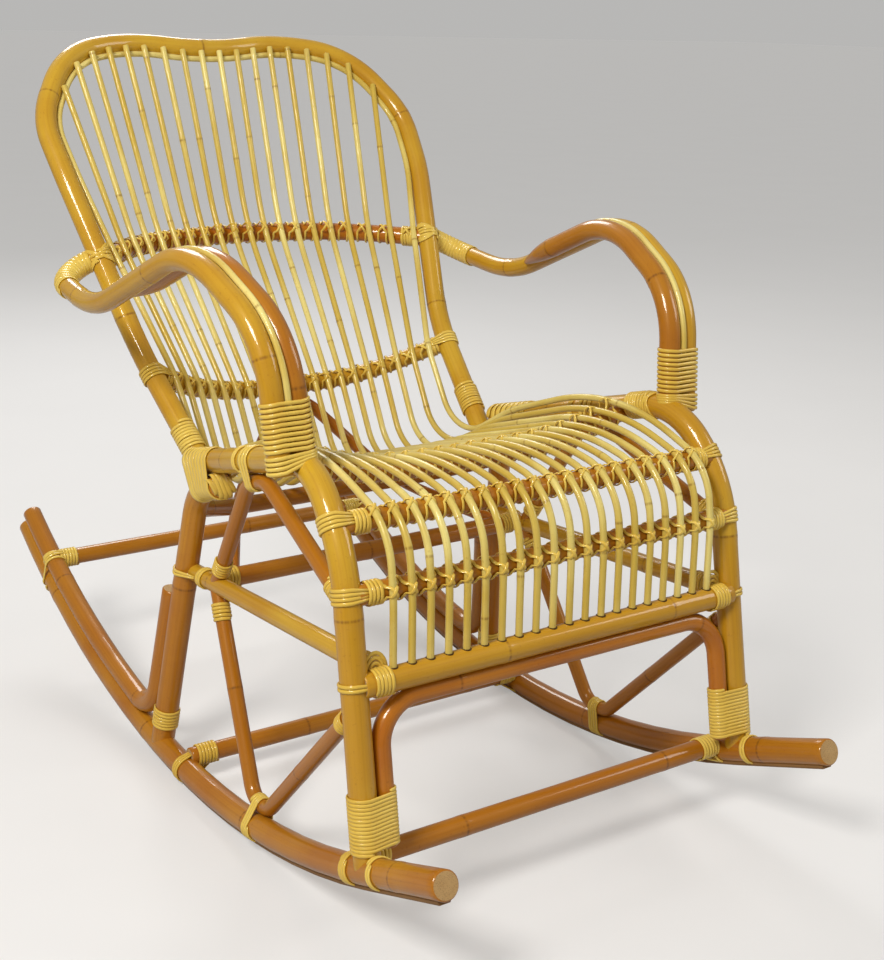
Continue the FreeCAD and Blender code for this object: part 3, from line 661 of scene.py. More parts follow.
POLE_FINISH = rattan(
    "pole_varnish", (0.61, 0.365, 0.026), (0.51, 0.25, 0.01), (0.33, 0.125, 0.006), (0.2, 0.07, 0.006),
    900, 0.3, 0.34, 0.65, 0.2,
)
# A darker, more orange-brown copy of the pole finish for the lower and inner poles: the orange-brown is the
# rattan's own tone, and its extra darkness is partly painted shade of poles lit less from above.
AMBER_TONE_WITH_PAINTED_SHADE = rattan(
    "amber_varnish_with_painted_shade", (0.48, 0.2, 0.011), (0.39, 0.13, 0.005), (0.24, 0.068, 0.003), (0.13, 0.04, 0.003),
    900, 0.3, 0.34, 0.65, 0.2,
)
# The darkest copy, for the upper back rail, the front arch and the back prop: its orange is the rattan's
# own tone, and its darkness is partly painted shade of poles that sit behind or under others.
ORANGE_TONE_WITH_PAINTED_SHADE = rattan(
    "orange_varnish_with_painted_shade", (0.5, 0.175, 0.009), (0.41, 0.118, 0.004), (0.24, 0.06, 0.002), (0.13, 0.035, 0.002),
    900, 0.3, 0.32, 0.65, 0.2,
)
CANE_FINISH = rattan(
    "cane_varnish", (0.8, 0.68, 0.23), (0.57, 0.39, 0.05), (0.41, 0.23, 0.026), (0.26, 0.12, 0.014),
    1500, 0.35, 0.36, 0.45, 0.2,
)
STRAND_FINISH = rattan(
    "strand_peel", (0.84, 0.62, 0.125), (0.68, 0.43, 0.052), (0.47, 0.235, 0.024), (0.24, 0.09, 0.012),
    2200, 0.45, 0.34, 0.5, 0.25,
)
SOLE_FINISH = rattan(
    "sole_wear", (0.3, 0.16, 0.06), (0.2, 0.1, 0.035), (0.1, 0.045, 0.015), (0.08, 0.03, 0.01),
    700, 0.6, 0.6, 0.1, 0.4,
)
# Painted shade: a near-black finish for the ring round each cane's foot, standing for the shadow inside its
# hole.
PAINTED_HOLE_SHADE = rattan(
    "peg_hole_shade", (0.09, 0.04, 0.01), (0.06, 0.025, 0.007), (0.03, 0.012, 0.004), (0.03, 0.012, 0.004),
    900, 0.5, 0.6, 0.1, 0.3,
)


def end_grain():
    """Sawn pole ends, with open pores."""
    material, tree, shader = new_material("sawn_end")
    run = tree.nodes.new("ShaderNodeUVMap")
    run.uv_map = "run"
    pores = tree.nodes.new("ShaderNodeTexVoronoi")
    pores.inputs["Scale"].default_value = 900.0
    tree.links.new(run.outputs["UV"], pores.inputs["Vector"])
    patches = placed(tree, PATCHES)
    patches.inputs["Scale"].default_value = 60.0
    tone = mixed(tree, patches.outputs["Patches"], (0.55, 0.36, 0.15), (0.4, 0.22, 0.07))
    pore_mask = ranged(tree, pores.outputs["Distance"], 0.1, 0.4, 0.8, 0.0)
    tone = mixed(tree, pore_mask, tone, (0.14, 0.07, 0.025))
    tree.links.new(tone, shader.inputs["Base Color"])
    shine = ranged(tree, patches.outputs["Patches"], 0.3, 0.7, 0.6, 0.8)
    tree.links.new(shine, shader.inputs["Roughness"])
    add_relief(tree, shader, pores.outputs["Distance"], 0.4)
    return material


END_FINISH = end_grain()


def knots_along(line, seed, spacing):
    """Places of the knots along a pole, at uneven spacing, and a tint for each stretch between them."""
    chance = random.Random(seed)
    base = chance.random()
    places = []
    distance = chance.uniform(0.2, 1.0) * spacing
    while distance < line.length:
        places.append(distance)
        distance += spacing * chance.uniform(0.7, 1.35)
    tints = [min(max(base + chance.uniform(-0.22, 0.22), 0), 1) for _ in range(len(places) + 1)]
    return places, tints


def add_pole(node, line, diameter, finish=POLE_FINISH):
    """A pole in place of one node."""
    name = f"{node}_pole"
    piece = Piece(name)
    piece.pole(line, diameter, POLE_SIDES, *knots_along(line, name, POLE_KNOT_SPACING))
    piece.build(finish, "pole", [node], END_FINISH)


def both_sides(line):
    return ("left", line), ("right", line.mirrored())


def add_both(name, line, diameter, finish=POLE_FINISH):
    """A pole on each side of the chair, each with its own knots."""
    for side, side_line in both_sides(line):
        add_pole(f"{name}_{side}", side_line, diameter, finish)


def across_line(point, bends, *inner):
    """A line from side to side, from its end on the left and any corners inside it."""
    half = [point, *inner]
    middle = [half[-1]] if half[-1].x == 0 else []
    left = half[:-1] if middle else half
    turns = bends + bends[:-1][::-1] if middle else bends + bends[::-1]
    return Line(left + middle + [mirrored(place) for place in reversed(left)], turns)


# Rockers and legs
def over_rocker(reach, lift=0.0):
    """A place above the rocker's centre line by lift, at this reach along Y."""
    radius = ROCKER_RADIUS - lift
    return rocker_centre + Vector((0, reach, -math.sqrt(radius ** 2 - reach ** 2)))


def along_rocker(reach, radius=ROCKER_RADIUS):
    return Vector((0, math.sqrt(1 - (reach / radius) ** 2), reach / radius))


def arc_corner(first, second, radius):
    """The corner whose arc about the rocker's centre joins two reaches."""
    middle = (math.asin(first / radius) + math.asin(second / radius)) / 2
    half = (math.asin(second / radius) - math.asin(first / radius)) / 2
    away = radius / math.cos(half)
    return rocker_centre + Vector((0, away * math.sin(middle), -away * math.cos(middle)))


def rocker_line(radius, setback):
    """A line at this radius about the rocker's centre, straight at its front tip."""
    scale = radius / ROCKER_RADIUS
    front_reach = -FRONT_FOOT_REACH * scale
    rear_reach = (REAR_TIP_REACH - setback) * scale
    forward = along_rocker(-FRONT_FOOT_REACH) * (FRONT_TIP_LENGTH - setback)
    front = over_rocker(front_reach, ROCKER_RADIUS - radius) - forward
    rear = over_rocker(rear_reach, ROCKER_RADIUS - radius)
    return Line([front, arc_corner(front_reach, rear_reach, radius), rear], [radius])


rocker = rocker_line(ROCKER_RADIUS, 0)
front_foot = over_rocker(-FRONT_FOOT_REACH)
rear_foot = over_rocker(REAR_FOOT_REACH)
front_leg = Line([front_foot, SHIN, KNEE, RAIL_END], [SHIN_BEND, KNEE_BEND])
rail_heading = (RAIL_END - KNEE).normalized()
rail_below = rail_heading.cross(Vector((1, 0, 0))).normalized()


def under_rail(reach, diameter):
    return front_leg.where(Y, reach) + rail_below * ((LEG_DIAMETER + diameter) / 2 + SEAT_GAP)


hip = under_rail(HIP_REACH, LEG_DIAMETER)
rear_leg = Line([rear_foot, hip, hip - rail_heading * HIP_RUN], [HIP_BEND])
heel_lift = (ROCKER_DIAMETER + HEEL_BRACE_DIAMETER) / 2 + SEAT_GAP
heel_radius = ROCKER_RADIUS - heel_lift
leg_heading = (hip - rear_foot).normalized()
leg_behind = leg_heading.cross(Vector((1, 0, 0))).normalized()
behind_leg = rear_foot + leg_behind * ((LEG_DIAMETER + HEEL_BRACE_DIAMETER) / 2 + SEAT_GAP)
heel = over_rocker(HEEL_REACH, heel_lift)
heel_heading = along_rocker(HEEL_REACH, heel_radius)
heel_offset = behind_leg - heel
heel_span = heel_heading.y * leg_heading.z - heel_heading.z * leg_heading.y
heel_run = (heel_offset.y * leg_heading.z - heel_offset.z * leg_heading.y) / heel_span
heel_tip_reach = REAR_TIP_REACH * heel_radius / ROCKER_RADIUS
heel_brace = Line(
    [
        over_rocker(heel_tip_reach, heel_lift),
        arc_corner(HEEL_REACH, heel_tip_reach, heel_radius),
        heel + heel_heading * heel_run,
        behind_leg + leg_heading * ((HEEL_BRACE_TOP - behind_leg.z) / leg_heading.z),
    ],
    [heel_radius, HEEL_BEND],
)
add_both("rocker", rocker, ROCKER_DIAMETER, AMBER_TONE_WITH_PAINTED_SHADE)
for side, line in both_sides(front_leg):
    piece = Piece(f"front_leg_{side}_pole")
    knots = [front_leg.mark(Z, FRONT_LEG_KNOT), front_leg.mark(Y, SIDE_RAIL_KNOT)]
    piece.pole(line, LEG_DIAMETER, POLE_SIDES, knots, [0.8, 0.35, 0.6])
    piece.build(POLE_FINISH, "pole", [f"front_leg_{side}"], END_FINISH)
add_both("rear_leg", rear_leg, LEG_DIAMETER, AMBER_TONE_WITH_PAINTED_SHADE)
add_both("heel_brace", heel_brace, HEEL_BRACE_DIAMETER, AMBER_TONE_WITH_PAINTED_SHADE)
sole_line = rocker_line(ROCKER_RADIUS + ROCKER_DIAMETER / 2 - SOLE_BED + SOLE_THICKNESS / 2, SOLE_SETBACK)
for side, line in both_sides(sole_line):
    sole = Piece(f"rocker_sole_{side}_strip")
    sole.strip(line, SOLE_WIDTH, SOLE_THICKNESS, 0.5)
    sole.build(SOLE_FINISH, "pole", [f"rocker_sole_{side}"])

# Back
hoop_foot_x = front_leg.where(Y, HOOP_FOOT_REACH).x - (LEG_DIAMETER + HOOP_DIAMETER) / 2 + HOOP_NOTCH
hoop_foot = Vector((hoop_foot_x, HOOP_FOOT_REACH, HOOP_FOOT_HEIGHT))
hoop = across_line(
    hoop_foot, HOOP_BENDS + [DIP_BEND], WAIST, SHOULDER_LOW, SHOULDER, HUMP_OUTER, HUMP, DIP
)
add_pole("back_hoop", hoop, HOOP_DIAMETER)
upper_back_end = hoop.where(Z, ARM_HEIGHT_AT_HOOP - UPPER_BACK_DROP)
level_with_end = Vector((0, upper_back_end.y, upper_back_end.z))
upper_back = across_line(
    upper_back_end, UPPER_BACK_BENDS, level_with_end + UPPER_BACK_CORNER, level_with_end + UPPER_BACK_CREST
)
add_pole("back_rail_upper", upper_back, BACK_RAIL_DIAMETER, ORANGE_TONE_WITH_PAINTED_SHADE)
lower_back = across_line(hoop.where(Z, LOWER_BACK_HEIGHT), [LOWER_BACK_BEND], LOWER_BACK_CORNER)
add_pole("back_rail_lower", lower_back, SEAT_RAIL_DIAMETER)

# Seat and front rails
seat_rail_end = front_leg.where(Y, -SEAT_RAIL_REACH) - Vector((RAIL_INSET, 0, SEAT_RAIL_DROP))
seat_rail_corner = Vector((SEAT_RAIL_CORNER, seat_rail_end.y, seat_rail_end.z - SEAT_RAIL_BOW))
seat_rail = across_line(seat_rail_end, [SEAT_RAIL_BEND], seat_rail_corner)
add_pole("seat_rail_middle", seat_rail, SEAT_RAIL_DIAMETER, AMBER_TONE_WITH_PAINTED_SHADE)
rear_rail = across_line(rear_leg.where(Z, REAR_RAIL_HEIGHT), [REAR_RAIL_BEND], REAR_RAIL_CORNER)
add_pole("seat_rail_rear", rear_rail, SEAT_RAIL_DIAMETER, AMBER_TONE_WITH_PAINTED_SHADE)


def front_rail(height):
    return across_line(front_leg.where(Z, height) - Vector((RAIL_INSET, RAIL_FORWARD, 0)), [])


upper_rail = front_rail(UPPER_RAIL_HEIGHT)
middle_rail = front_rail(MIDDLE_RAIL_HEIGHT)
lower_rail = front_rail(LOWER_RAIL_HEIGHT)
add_pole("front_rail_upper", upper_rail, FRONT_RAIL_DIAMETER, AMBER_TONE_WITH_PAINTED_SHADE)
add_pole("front_rail_middle", middle_rail, FRONT_RAIL_DIAMETER, AMBER_TONE_WITH_PAINTED_SHADE)
add_pole("front_rail_lower", lower_rail, LOWER_RAIL_DIAMETER)
arch_beside = Vector(((LEG_DIAMETER + ARCH_DIAMETER) / 2 + SEAT_GAP, 0, 0))
arch_top = LOWER_RAIL_HEIGHT - (LOWER_RAIL_DIAMETER + ARCH_DIAMETER) / 2 + NOTCH
arch_foot = front_leg.where(Z, ARCH_FOOT_HEIGHT) - arch_beside
front_arch = across_line(arch_foot, [ARCH_BEND], front_leg.where(Z, arch_top) - arch_beside)
add_pole("front_arch", front_arch, ARCH_DIAMETER, ORANGE_TONE_WITH_PAINTED_SHADE)

# Stretchers and braces
inset = Vector((RAIL_INSET, 0, 0))


def between_rockers(reach, lift):
    return across_line(over_rocker(reach) - inset + Vector((0, 0, lift)), [])


front_stretcher = between_rockers(-FRONT_STRETCHER_REACH, FRONT_STRETCHER_LIFT)
lower_stretcher = between_rockers(LOWER_STRETCHER_REACH, LOWER_STRETCHER_LIFT)
rear_stretcher = across_line(heel_brace.where(Y, REAR_STRETCHER_REACH), [])
add_pole("stretcher_front", front_stretcher, STRETCHER_DIAMETER, AMBER_TONE_WITH_PAINTED_SHADE)
add_pole("stretcher_lower_rear", lower_stretcher, STRETCHER_DIAMETER, AMBER_TONE_WITH_PAINTED_SHADE)
add_pole("stretcher_rear", rear_stretcher, STRETCHER_DIAMETER, AMBER_TONE_WITH_PAINTED_SHADE)
side_beside = Vector(((LEG_DIAMETER + SIDE_STRETCHER_DIAMETER) / 2 + SEAT_GAP, 0, 0))
side_front = front_leg.where(Z, LOWER_RAIL_HEIGHT + SIDE_STRETCHER_FRONT_LIFT) - side_beside
side_rear_reach = rear_leg.where(Z, SIDE_STRETCHER_REAR_HEIGHT).y - LEG_DIAMETER / 4
side_stretcher = Line([Vector((side_front.x, side_rear_reach, SIDE_STRETCHER_REAR_HEIGHT)), side_front], [])
add_both("side_stretcher", side_stretcher, SIDE_STRETCHER_DIAMETER)
brace_foot = side_stretcher.where(Y, BRACE_FOOT_REACH)
upper_brace = Line(
    [
        brace_foot,
        under_rail(-UPPER_BRACE_REAR, BRACE_DIAMETER),
        under_rail(-UPPER_BRACE_FRONT, BRACE_DIAMETER),
        front_leg.where(Z, UPPER_BRACE_END_HEIGHT),
    ],
    [UPPER_BRACE_BEND, UPPER_BRACE_BEND],
)
add_both("upper_brace", upper_brace, BRACE_DIAMETER, AMBER_TONE_WITH_PAINTED_SHADE)
brace_lift = math.sqrt(((ROCKER_DIAMETER + BRACE_DIAMETER) / 2 + SEAT_GAP) ** 2 - LOWER_BRACE_INSET ** 2)
brace_inset = Vector((LOWER_BRACE_INSET, 0, 0))
lower_brace = Line(
    [
        brace_foot,
        over_rocker(-LOWER_BRACE_REAR, brace_lift) - brace_inset,
        over_rocker(-LOWER_BRACE_FRONT, brace_lift) - brace_inset,
        front_leg.where(Z, LOWER_BRACE_END_HEIGHT),
    ],
    [LOWER_BRACE_BEND, LOWER_BRACE_BEND],
)
add_both("lower_brace", lower_brace, BRACE_DIAMETER, AMBER_TONE_WITH_PAINTED_SHADE)
middle_end = side_stretcher.where(Y, MIDDLE_STRETCHER_REACH)
middle_stretcher = across_line(middle_end, [])
add_pole("stretcher_middle", middle_stretcher, STRETCHER_DIAMETER, AMBER_TONE_WITH_PAINTED_SHADE)
prop_foot = Vector((PROP_FOOT, MIDDLE_STRETCHER_REACH, middle_end.z))
back_prop = across_line(prop_foot, [PROP_KNEE_BEND, PROP_TOP_BEND], PROP_KNEE, PROP_TOP)
add_pole("back_prop", back_prop, PROP_DIAMETER, ORANGE_TONE_WITH_PAINTED_SHADE)

# Arms
arm_foot_x = front_leg.where(Y, -ARM_FOOT_REACH).x + (LEG_DIAMETER + ARM_DIAMETER) / 2 + SEAT_GAP
arm_foot = Vector((arm_foot_x, -ARM_FOOT_REACH, ARM_FOOT_HEIGHT))
arm_down = (arm_foot - ARM_FRONT).normalized()
arm_end = arm_foot + arm_down * (ARM_FOOT_TRIM / arm_down.z)
outer_arm = Line(
    [hoop.where(Z, ARM_HEIGHT_AT_HOOP), ARM_ELBOW, ARM_DIP, ARM_CREST, ARM_FRONT, arm_end], ARM_BENDS
)
add_both("arm_outer", outer_arm, ARM_DIAMETER)
arm_pitch = Vector((ARM_DIAMETER + SEAT_GAP, 0, 0))
inner_foot = Vector((arm_foot.x, arm_foot.y, KNEE.z - LEG_DIAMETER / 2))
inner_corners = [outer_arm.where(Y, INNER_ARM_START), ARM_CREST, ARM_FRONT, inner_foot]
inner_arm = Line([corner - arm_pitch for corner in inner_corners], ARM_BENDS[2:])
for side, line, way in (("left", inner_arm, 1), ("right", inner_arm.mirrored(), -1)):
    piece = Piece(f"arm_inner_{side}_pole")
    knots, tints = knots_along(line, f"arm_inner_{side}", POLE_KNOT_SPACING)
    piece.pole(
        line, ARM_DIAMETER, POLE_SIDES, knots, tints, scarf=INNER_ARM_SCARF, scarf_side=Vector((way, 0, 0))
    )
    piece.build(AMBER_TONE_WITH_PAINTED_SHADE, "pole", [f"arm_inner_{side}"], END_FINISH)
filler_reach = (ARM_DIAMETER + FILLER_DIAMETER) / 2 + SEAT_GAP
filler_rise = math.sqrt(filler_reach ** 2 - (arm_pitch.x / 2) ** 2)


def raised(corners, distance):
    """The corners of a route moved outward in its upright plane, so that its runs stay parallel."""
    normals = [(b - a).cross(Vector((1, 0, 0))).normalized() for a, b in zip(corners, corners[1:])]
    moved = [corners[0] + normals[0] * distance]
    for corner, first, second in zip(corners[1:], normals, normals[1:]):
        moved.append(corner + (first + second) * (distance / (1 + first.dot(second))))
    return moved + [corners[-1] + normals[-1] * distance]


filler_foot = outer_arm.where(Z, BINDING_TOP - FILLER_TUCK)
filler_corners = [outer_arm.where(Y, FILLER_START), ARM_CREST, ARM_FRONT, filler_foot]
filler = Line(
    raised([corner - arm_pitch / 2 for corner in filler_corners], filler_rise),
    [bend + filler_rise for bend in ARM_BENDS[2:]],
)
for side, line in both_sides(filler):
    piece = Piece(f"arm_filler_{side}_cane")
    piece.pole(line, FILLER_DIAMETER, CANE_SIDES, *knots_along(line, f"filler_{side}", CANE_KNOT_SPACING))
    piece.build(CANE_FINISH, "cane", [f"arm_filler_{side}"], END_FINISH)

# Cane deck
cane_seat = CANE_DIAMETER / 2 + SEAT_GAP
lining_offset = HOOP_DIAMETER / 2 + cane_seat
sitter_side = Vector((0, -math.sin(BACK_LEAN), math.cos(BACK_LEAN)))


def lined(before, corner, after):
    """The lining's corner inside a corner of the hoop."""
    along = ((corner - before).normalized() + (after - corner).normalized()).normalized()
    inward = HOOP_MIDDLE - corner
    return corner + (inward - along * inward.dot(along)).normalized() * lining_offset


hoop_corners = [WAIST, SHOULDER_LOW, SHOULDER, HUMP_OUTER, HUMP, DIP, mirrored(HUMP)]
lining_corners = [lined(*three) for three in zip(hoop_corners, hoop_corners[1:], hoop_corners[2:])]
lining_bends = [bend - lining_offset for bend in HOOP_BENDS[1:]]


def deck_corners(share):
    """Corners of one cane from the lower front rail to the upper back rail; share is 0 to 1 sideways."""
    rails = (lower_rail, middle_rail, upper_rail)
    lower_place, middle_place, upper_place = (rail.places[0] for rail in rails)
    apron_y = middle_place.y - FRONT_RAIL_DIAMETER / 2 - cane_seat
    over_rail = FRONT_RAIL_DIAMETER / 2 + cane_seat
    dish = 1 - share ** 4
    crest_y = -CREST_REACH - CREST_DISH_FORWARD * dish
    crest_z = CREST_HEIGHT - CREST_DISH * dish
    climb_y = crest_y - upper_place.y
    climb_z = crest_z - upper_place.z
    climb = math.atan2(climb_z, climb_y) - math.asin(over_rail / math.hypot(climb_y, climb_z))
    nose_y = apron_y + NOSE_SETBACK
    nose_z = crest_z - (crest_y - nose_y) * math.tan(climb)
    bowl = LOW_BOWL * dish
    front = DECK_FRONT * share
    return [
        Vector((front, lower_place.y, lower_place.z)),
        Vector((front, apron_y, middle_place.z)),
        Vector((front, nose_y, nose_z)),
        Vector((front, crest_y, crest_z)),
        Vector(((DECK_FRONT + DECK_REAR) / 2 * share, SLOPE_REACH, SLOPE_HEIGHT - SLOPE_DISH * dish)),
        Vector((DECK_REAR * share, LOW_REACH + bowl, LOW_HEIGHT - bowl)),
        lower_back.where(X, DECK_WAIST * share) + sitter_side * (SEAT_RAIL_DIAMETER / 2 + cane_seat),
        upper_back.where(X, DECK_RIB * share) + sitter_side * (BACK_RAIL_DIAMETER / 2 + cane_seat),
    ]


rim_half = deck_corners(1) + lining_corners[:-1]
rim_bends = DECK_BENDS + lining_bends
rim = Line(
    rim_half + lining_corners[-1:] + [mirrored(corner) for corner in reversed(rim_half)],
    rim_bends + [DIP_BEND + lining_offset] + rim_bends[::-1],
)
lining = Line(
    lining_corners + [mirrored(corner) for corner in reversed(lining_corners[:-1])],
    lining_bends[1:] + [DIP_BEND + lining_offset] + lining_bends[:0:-1],
)


def add_canes(name, lines, nodes):
    piece = Piece(name)
    for k, line in enumerate(lines):
        knots, tints = knots_along(line, f"{name}_{k}", CANE_KNOT_SPACING)
        piece.pole(line, CANE_DIAMETER, CANE_SIDES, knots, tints, CANE_KNOT_SWELL)
    piece.build(CANE_FINISH, "cane", nodes, END_FINISH)


add_canes("rim_cane_run", [rim], ["rim_cane"])
inner_pairs = CANE_COUNT // 2 - 1
cane_lines = [rim]
for number in range(inner_pairs):
    corners = deck_corners((2 * number + 1) / (CANE_COUNT - 1))
    on_lining = lining.where(X, DECK_TOP * (2 * number + 1) / (2 * inner_pairs - 1))
    over_lining = on_lining + sitter_side * (CANE_DIAMETER + SEAT_GAP)
    cane_end = over_lining + (over_lining - corners[-1]).normalized() * CANE_END_LAP
    cane_line = Line(corners + [cane_end], DECK_BENDS)
    cane_lines.append(cane_line)
    node = f"deck_cane_{number + 1}"
    add_canes(f"{node}_pair", [cane_line, cane_line.mirrored()], [node])


# Lashings
def far_end(line):
    """The place and heading at a line's far end, with the sideways and upward directions of its face."""
    end, heading, _ = line.at(line.length)
    side = Vector((1, 0, 0))
    up = side.cross(heading)
    return end, heading, side, -up if up.z < 0 else up


class Lashing(Piece):
    """Turns of strand round the poles of the left side, and their mirror image."""

    def turns(self, line, diameter, start, count, tint,
              width=STRAND_WIDTH, thickness=STRAND_THICKNESS, spread=TURN_SPREAD):
        """Close turns round one pole, from a distance along it."""
        chance = random.Random(f"{self.name}_{start}_{count}")
        shifts = [chance.uniform(-0.3, 0.3) for _ in range(int(count) + 2)]
        places, outward = [], []
        for k in range(int(count * TURN_STEPS) + 1):
            turn, share = divmod(k / TURN_STEPS, 1)
            shift = shifts[int(turn)] * (1 - share) + shifts[int(turn) + 1] * share
            angle = 2 * math.pi * k / TURN_STEPS
            centre, heading, side = line.at(start + width * spread * k / TURN_STEPS + shift)
            out = side * math.cos(angle) + heading.cross(side) * math.sin(angle)
            places.append(centre + out * (diameter + thickness) / 2)
            outward.append(out)
        self.strand(places, outward, tint, width, thickness)

    def round_two(self, first, first_span, first_diameter, second, second_span, second_diameter,
                  count, tint, width=STRAND_WIDTH):
        """Turns round two poles together, over a span of distances along each."""
        half_steps = TURN_STEPS // 2
        places, outward = [], []
        for half_turn in range(2 * count):
            way = -1 if half_turn % 2 else 1
            for k in range(half_steps + 1):
                share = (half_turn + k / half_steps) / (2 * count)
                a, a_heading, _ = first.at(first_span[0] + (first_span[1] - first_span[0]) * share)
                b, b_heading, _ = second.at(second_span[0] + (second_span[1] - second_span[0]) * share)
                if a_heading.dot(b_heading) < 0:
                    b_heading = -b_heading
                heading = (a_heading + b_heading).normalized()
                across = a - b
                across = (across - heading * across.dot(heading)).normalized()
                angle = math.pi * (k / half_steps - 0.5)
                out = across * way * math.cos(angle) - across.cross(heading) * way * math.sin(angle)
                centre, diameter = (a, first_diameter) if way > 0 else (b, second_diameter)
                places.append(centre + out * (diameter + STRAND_THICKNESS) / 2)
                outward.append(out)
        self.strand(places, outward, tint, width, STRAND_THICKNESS)

    def hitch(self, carrier, at, carrier_diameter, member, member_at, member_diameter, count, tint):
        """Bands round the far side of a carrier, whose ends lie along the piece that it carries."""
        centre, heading, _ = carrier.at(at)
        member_place, _, _ = member.at(member_at)
        inward = member_place - centre
        inward = (inward - heading * inward.dot(heading)).normalized()
        across = heading.cross(inward)
        for number in range(count):
            shift = heading * (number - (count - 1) / 2) * STRAND_WIDTH * BAND_SPREAD
            ends = across * (member_diameter + STRAND_THICKNESS) / 2
            places, outward = [member_place + shift * 0.5 + ends], [across]
            for k in range(TURN_STEPS // 2 + 1):
                angle = math.pi * 2 * k / TURN_STEPS
                out = across * math.cos(angle) - inward * math.sin(angle)
                places.append(centre + shift + out * (carrier_diameter + STRAND_THICKNESS) / 2)
                outward.append(out)
            places.append(member_place + shift * 0.5 - ends)
            outward.append(-across)
            self.strand(places, outward, tint + 0.1 * (number % 2), STRAND_WIDTH, STRAND_THICKNESS)

    def slanted(self, line, at, diameter, facing, lean, tint):
        """One loop round a pole that leans across its faced side."""
        centre, heading, _ = line.at(at)
        front = (facing - heading * facing.dot(heading)).normalized()
        places, outward = [], []
        for k in range(TURN_STEPS + 1):
            angle = 2 * math.pi * k / TURN_STEPS
            out = front * math.cos(angle) + heading.cross(front) * math.sin(angle)
            ahead = heading * lean * math.sin(angle)
            places.append(centre + out * (diameter + STRAND_THICKNESS) / 2 + ahead)
            outward.append(out)
        self.strand(places, outward, tint, STRAND_WIDTH, STRAND_THICKNESS)

    def cross_tie(self, cane_place, rail_place, rail_way, rail_diameter, reach, swing, width, tint):
        """Two thin strands that cross over a cane and pass round its rail."""
        toward = cane_place - rail_place
        toward = toward - rail_way * toward.dot(rail_way)
        gap = toward.length
        rail_reach = (rail_diameter + TIE_THICKNESS) / 2
        cane_reach = (CANE_DIAMETER + TIE_THICKNESS) / 2
        toward.normalize()
        round_rail = rail_way.cross(toward)
        for way in (1, -1):
            places, outward = [], []
            for degrees in range(-168, 169, 8):
                angle = math.radians(degrees)
                aside = reach * min(max(degrees / swing, -1), 1)
                over_cane = 0
                if abs(aside) < cane_reach:
                    over_cane = gap + math.sqrt(cane_reach ** 2 - aside ** 2)
                out = toward * math.cos(angle) + round_rail * math.sin(angle)
                lift = TIE_LIFT if way > 0 else 0
                away = max(rail_reach, over_cane) + lift
                places.append(rail_place + rail_way * aside * way + out * away)
                outward.append(out)
            self.strand(places, outward, tint, width, TIE_THICKNESS)

    def end_coil(self, line, diameter, count, tint, reach_past, stretch, sag):
        """A flat coil of strand over the far end of a pole, stretched upright and sagging."""
        end, heading, side, up = far_end(line)
        places, outward = [], []
        for k in range(count * TURN_STEPS + 1):
            share = k / (count * TURN_STEPS)
            angle = 2 * math.pi * k / TURN_STEPS
            reach = (diameter / 2 + reach_past) * (1 - share) + share
            drop = up * (reach * stretch * math.sin(angle) - sag)
            places.append(end + heading * (3 * share - 1) + side * reach * math.cos(angle) + drop)
            outward.append(heading)
        self.strand(places, outward, tint, STRAND_WIDTH, STRAND_THICKNESS)

    def end_hood(self, line, diameter, count, tint, width):
        """Leaning strands side by side that fold over the far end of a pole."""
        end, heading, side, up = far_end(line)
        up = up.normalized()
        for number in range(count):
            aside = (number - (count - 1) / 2) * width * 0.95
            half = math.sqrt((diameter / 2) ** 2 - aside ** 2) + STRAND_THICKNESS / 2
            places, outward = [], []
            for share, ahead, out in (
                (1, -14, up), (1, -1, up), (0.8, 2, heading + up), (0.4, 3, heading),
                (-0.4, 3, heading), (-0.8, 2, heading - up), (-1, -1, -up), (-1, -14, -up),
            ):
                places.append(end + side * (aside * 0.9 + share * 4) + up * half * share + heading * ahead)
                outward.append(out.normalized())
            self.strand(places, outward, tint + 0.1 * (number % 3), width, STRAND_THICKNESS)

    def finish(self, nodes=()):
        self.add_mirror_image()
        self.build(STRAND_FINISH, "strand", nodes)


arm_binding = Lashing("arm_binding_turns")
arm_binding.round_two(
    outer_arm, outer_arm.span(Z, BINDING_BASE, BINDING_TOP), ARM_DIAMETER,
    inner_arm, inner_arm.span(Z, BINDING_BASE, BINDING_TOP), ARM_DIAMETER, BINDING_TURNS, 0.2,
)
arm_binding.round_two(
    outer_arm, outer_arm.span(Z, BINDING_FOOT, BINDING_BASE - 2), ARM_DIAMETER + 1,
    inner_arm, inner_arm.span(Z, KNEE_TURNS_BASE, BINDING_BASE - 1), ARM_DIAMETER + 1, KNEE_TURNS, 0.25,
)
knee_tie_at = front_leg.mark(Y, -KNEE_TIE_REACH)
for lean in (KNEE_TIE_LEAN, -KNEE_TIE_LEAN):
    arm_binding.slanted(front_leg, knee_tie_at, LEG_DIAMETER, Vector((1, -0.3, -0.6)), lean, 0.3)
arm_binding.finish(["arm_bindings"])

foot_binding = Lashing("foot_binding_turns")
foot_binding.round_two(
    front_leg, front_leg.span(Z, FOOT_WRAP_BASE, FOOT_WRAP_TOP), LEG_DIAMETER,
    front_arch, front_arch.span(Z, FOOT_WRAP_BASE, FOOT_WRAP_TOP), ARCH_DIAMETER, FOOT_TURNS, 0.45,
)
foot_binding.turns(rocker, ROCKER_DIAMETER, rocker.mark(Y, -FOOT_LASH_REAR), 3, 0.5)
foot_binding.turns(rocker, ROCKER_DIAMETER, rocker.mark(Y, -FOOT_LASH_FRONT), 2, 0.3)
foot_binding.finish(["foot_lashings"])

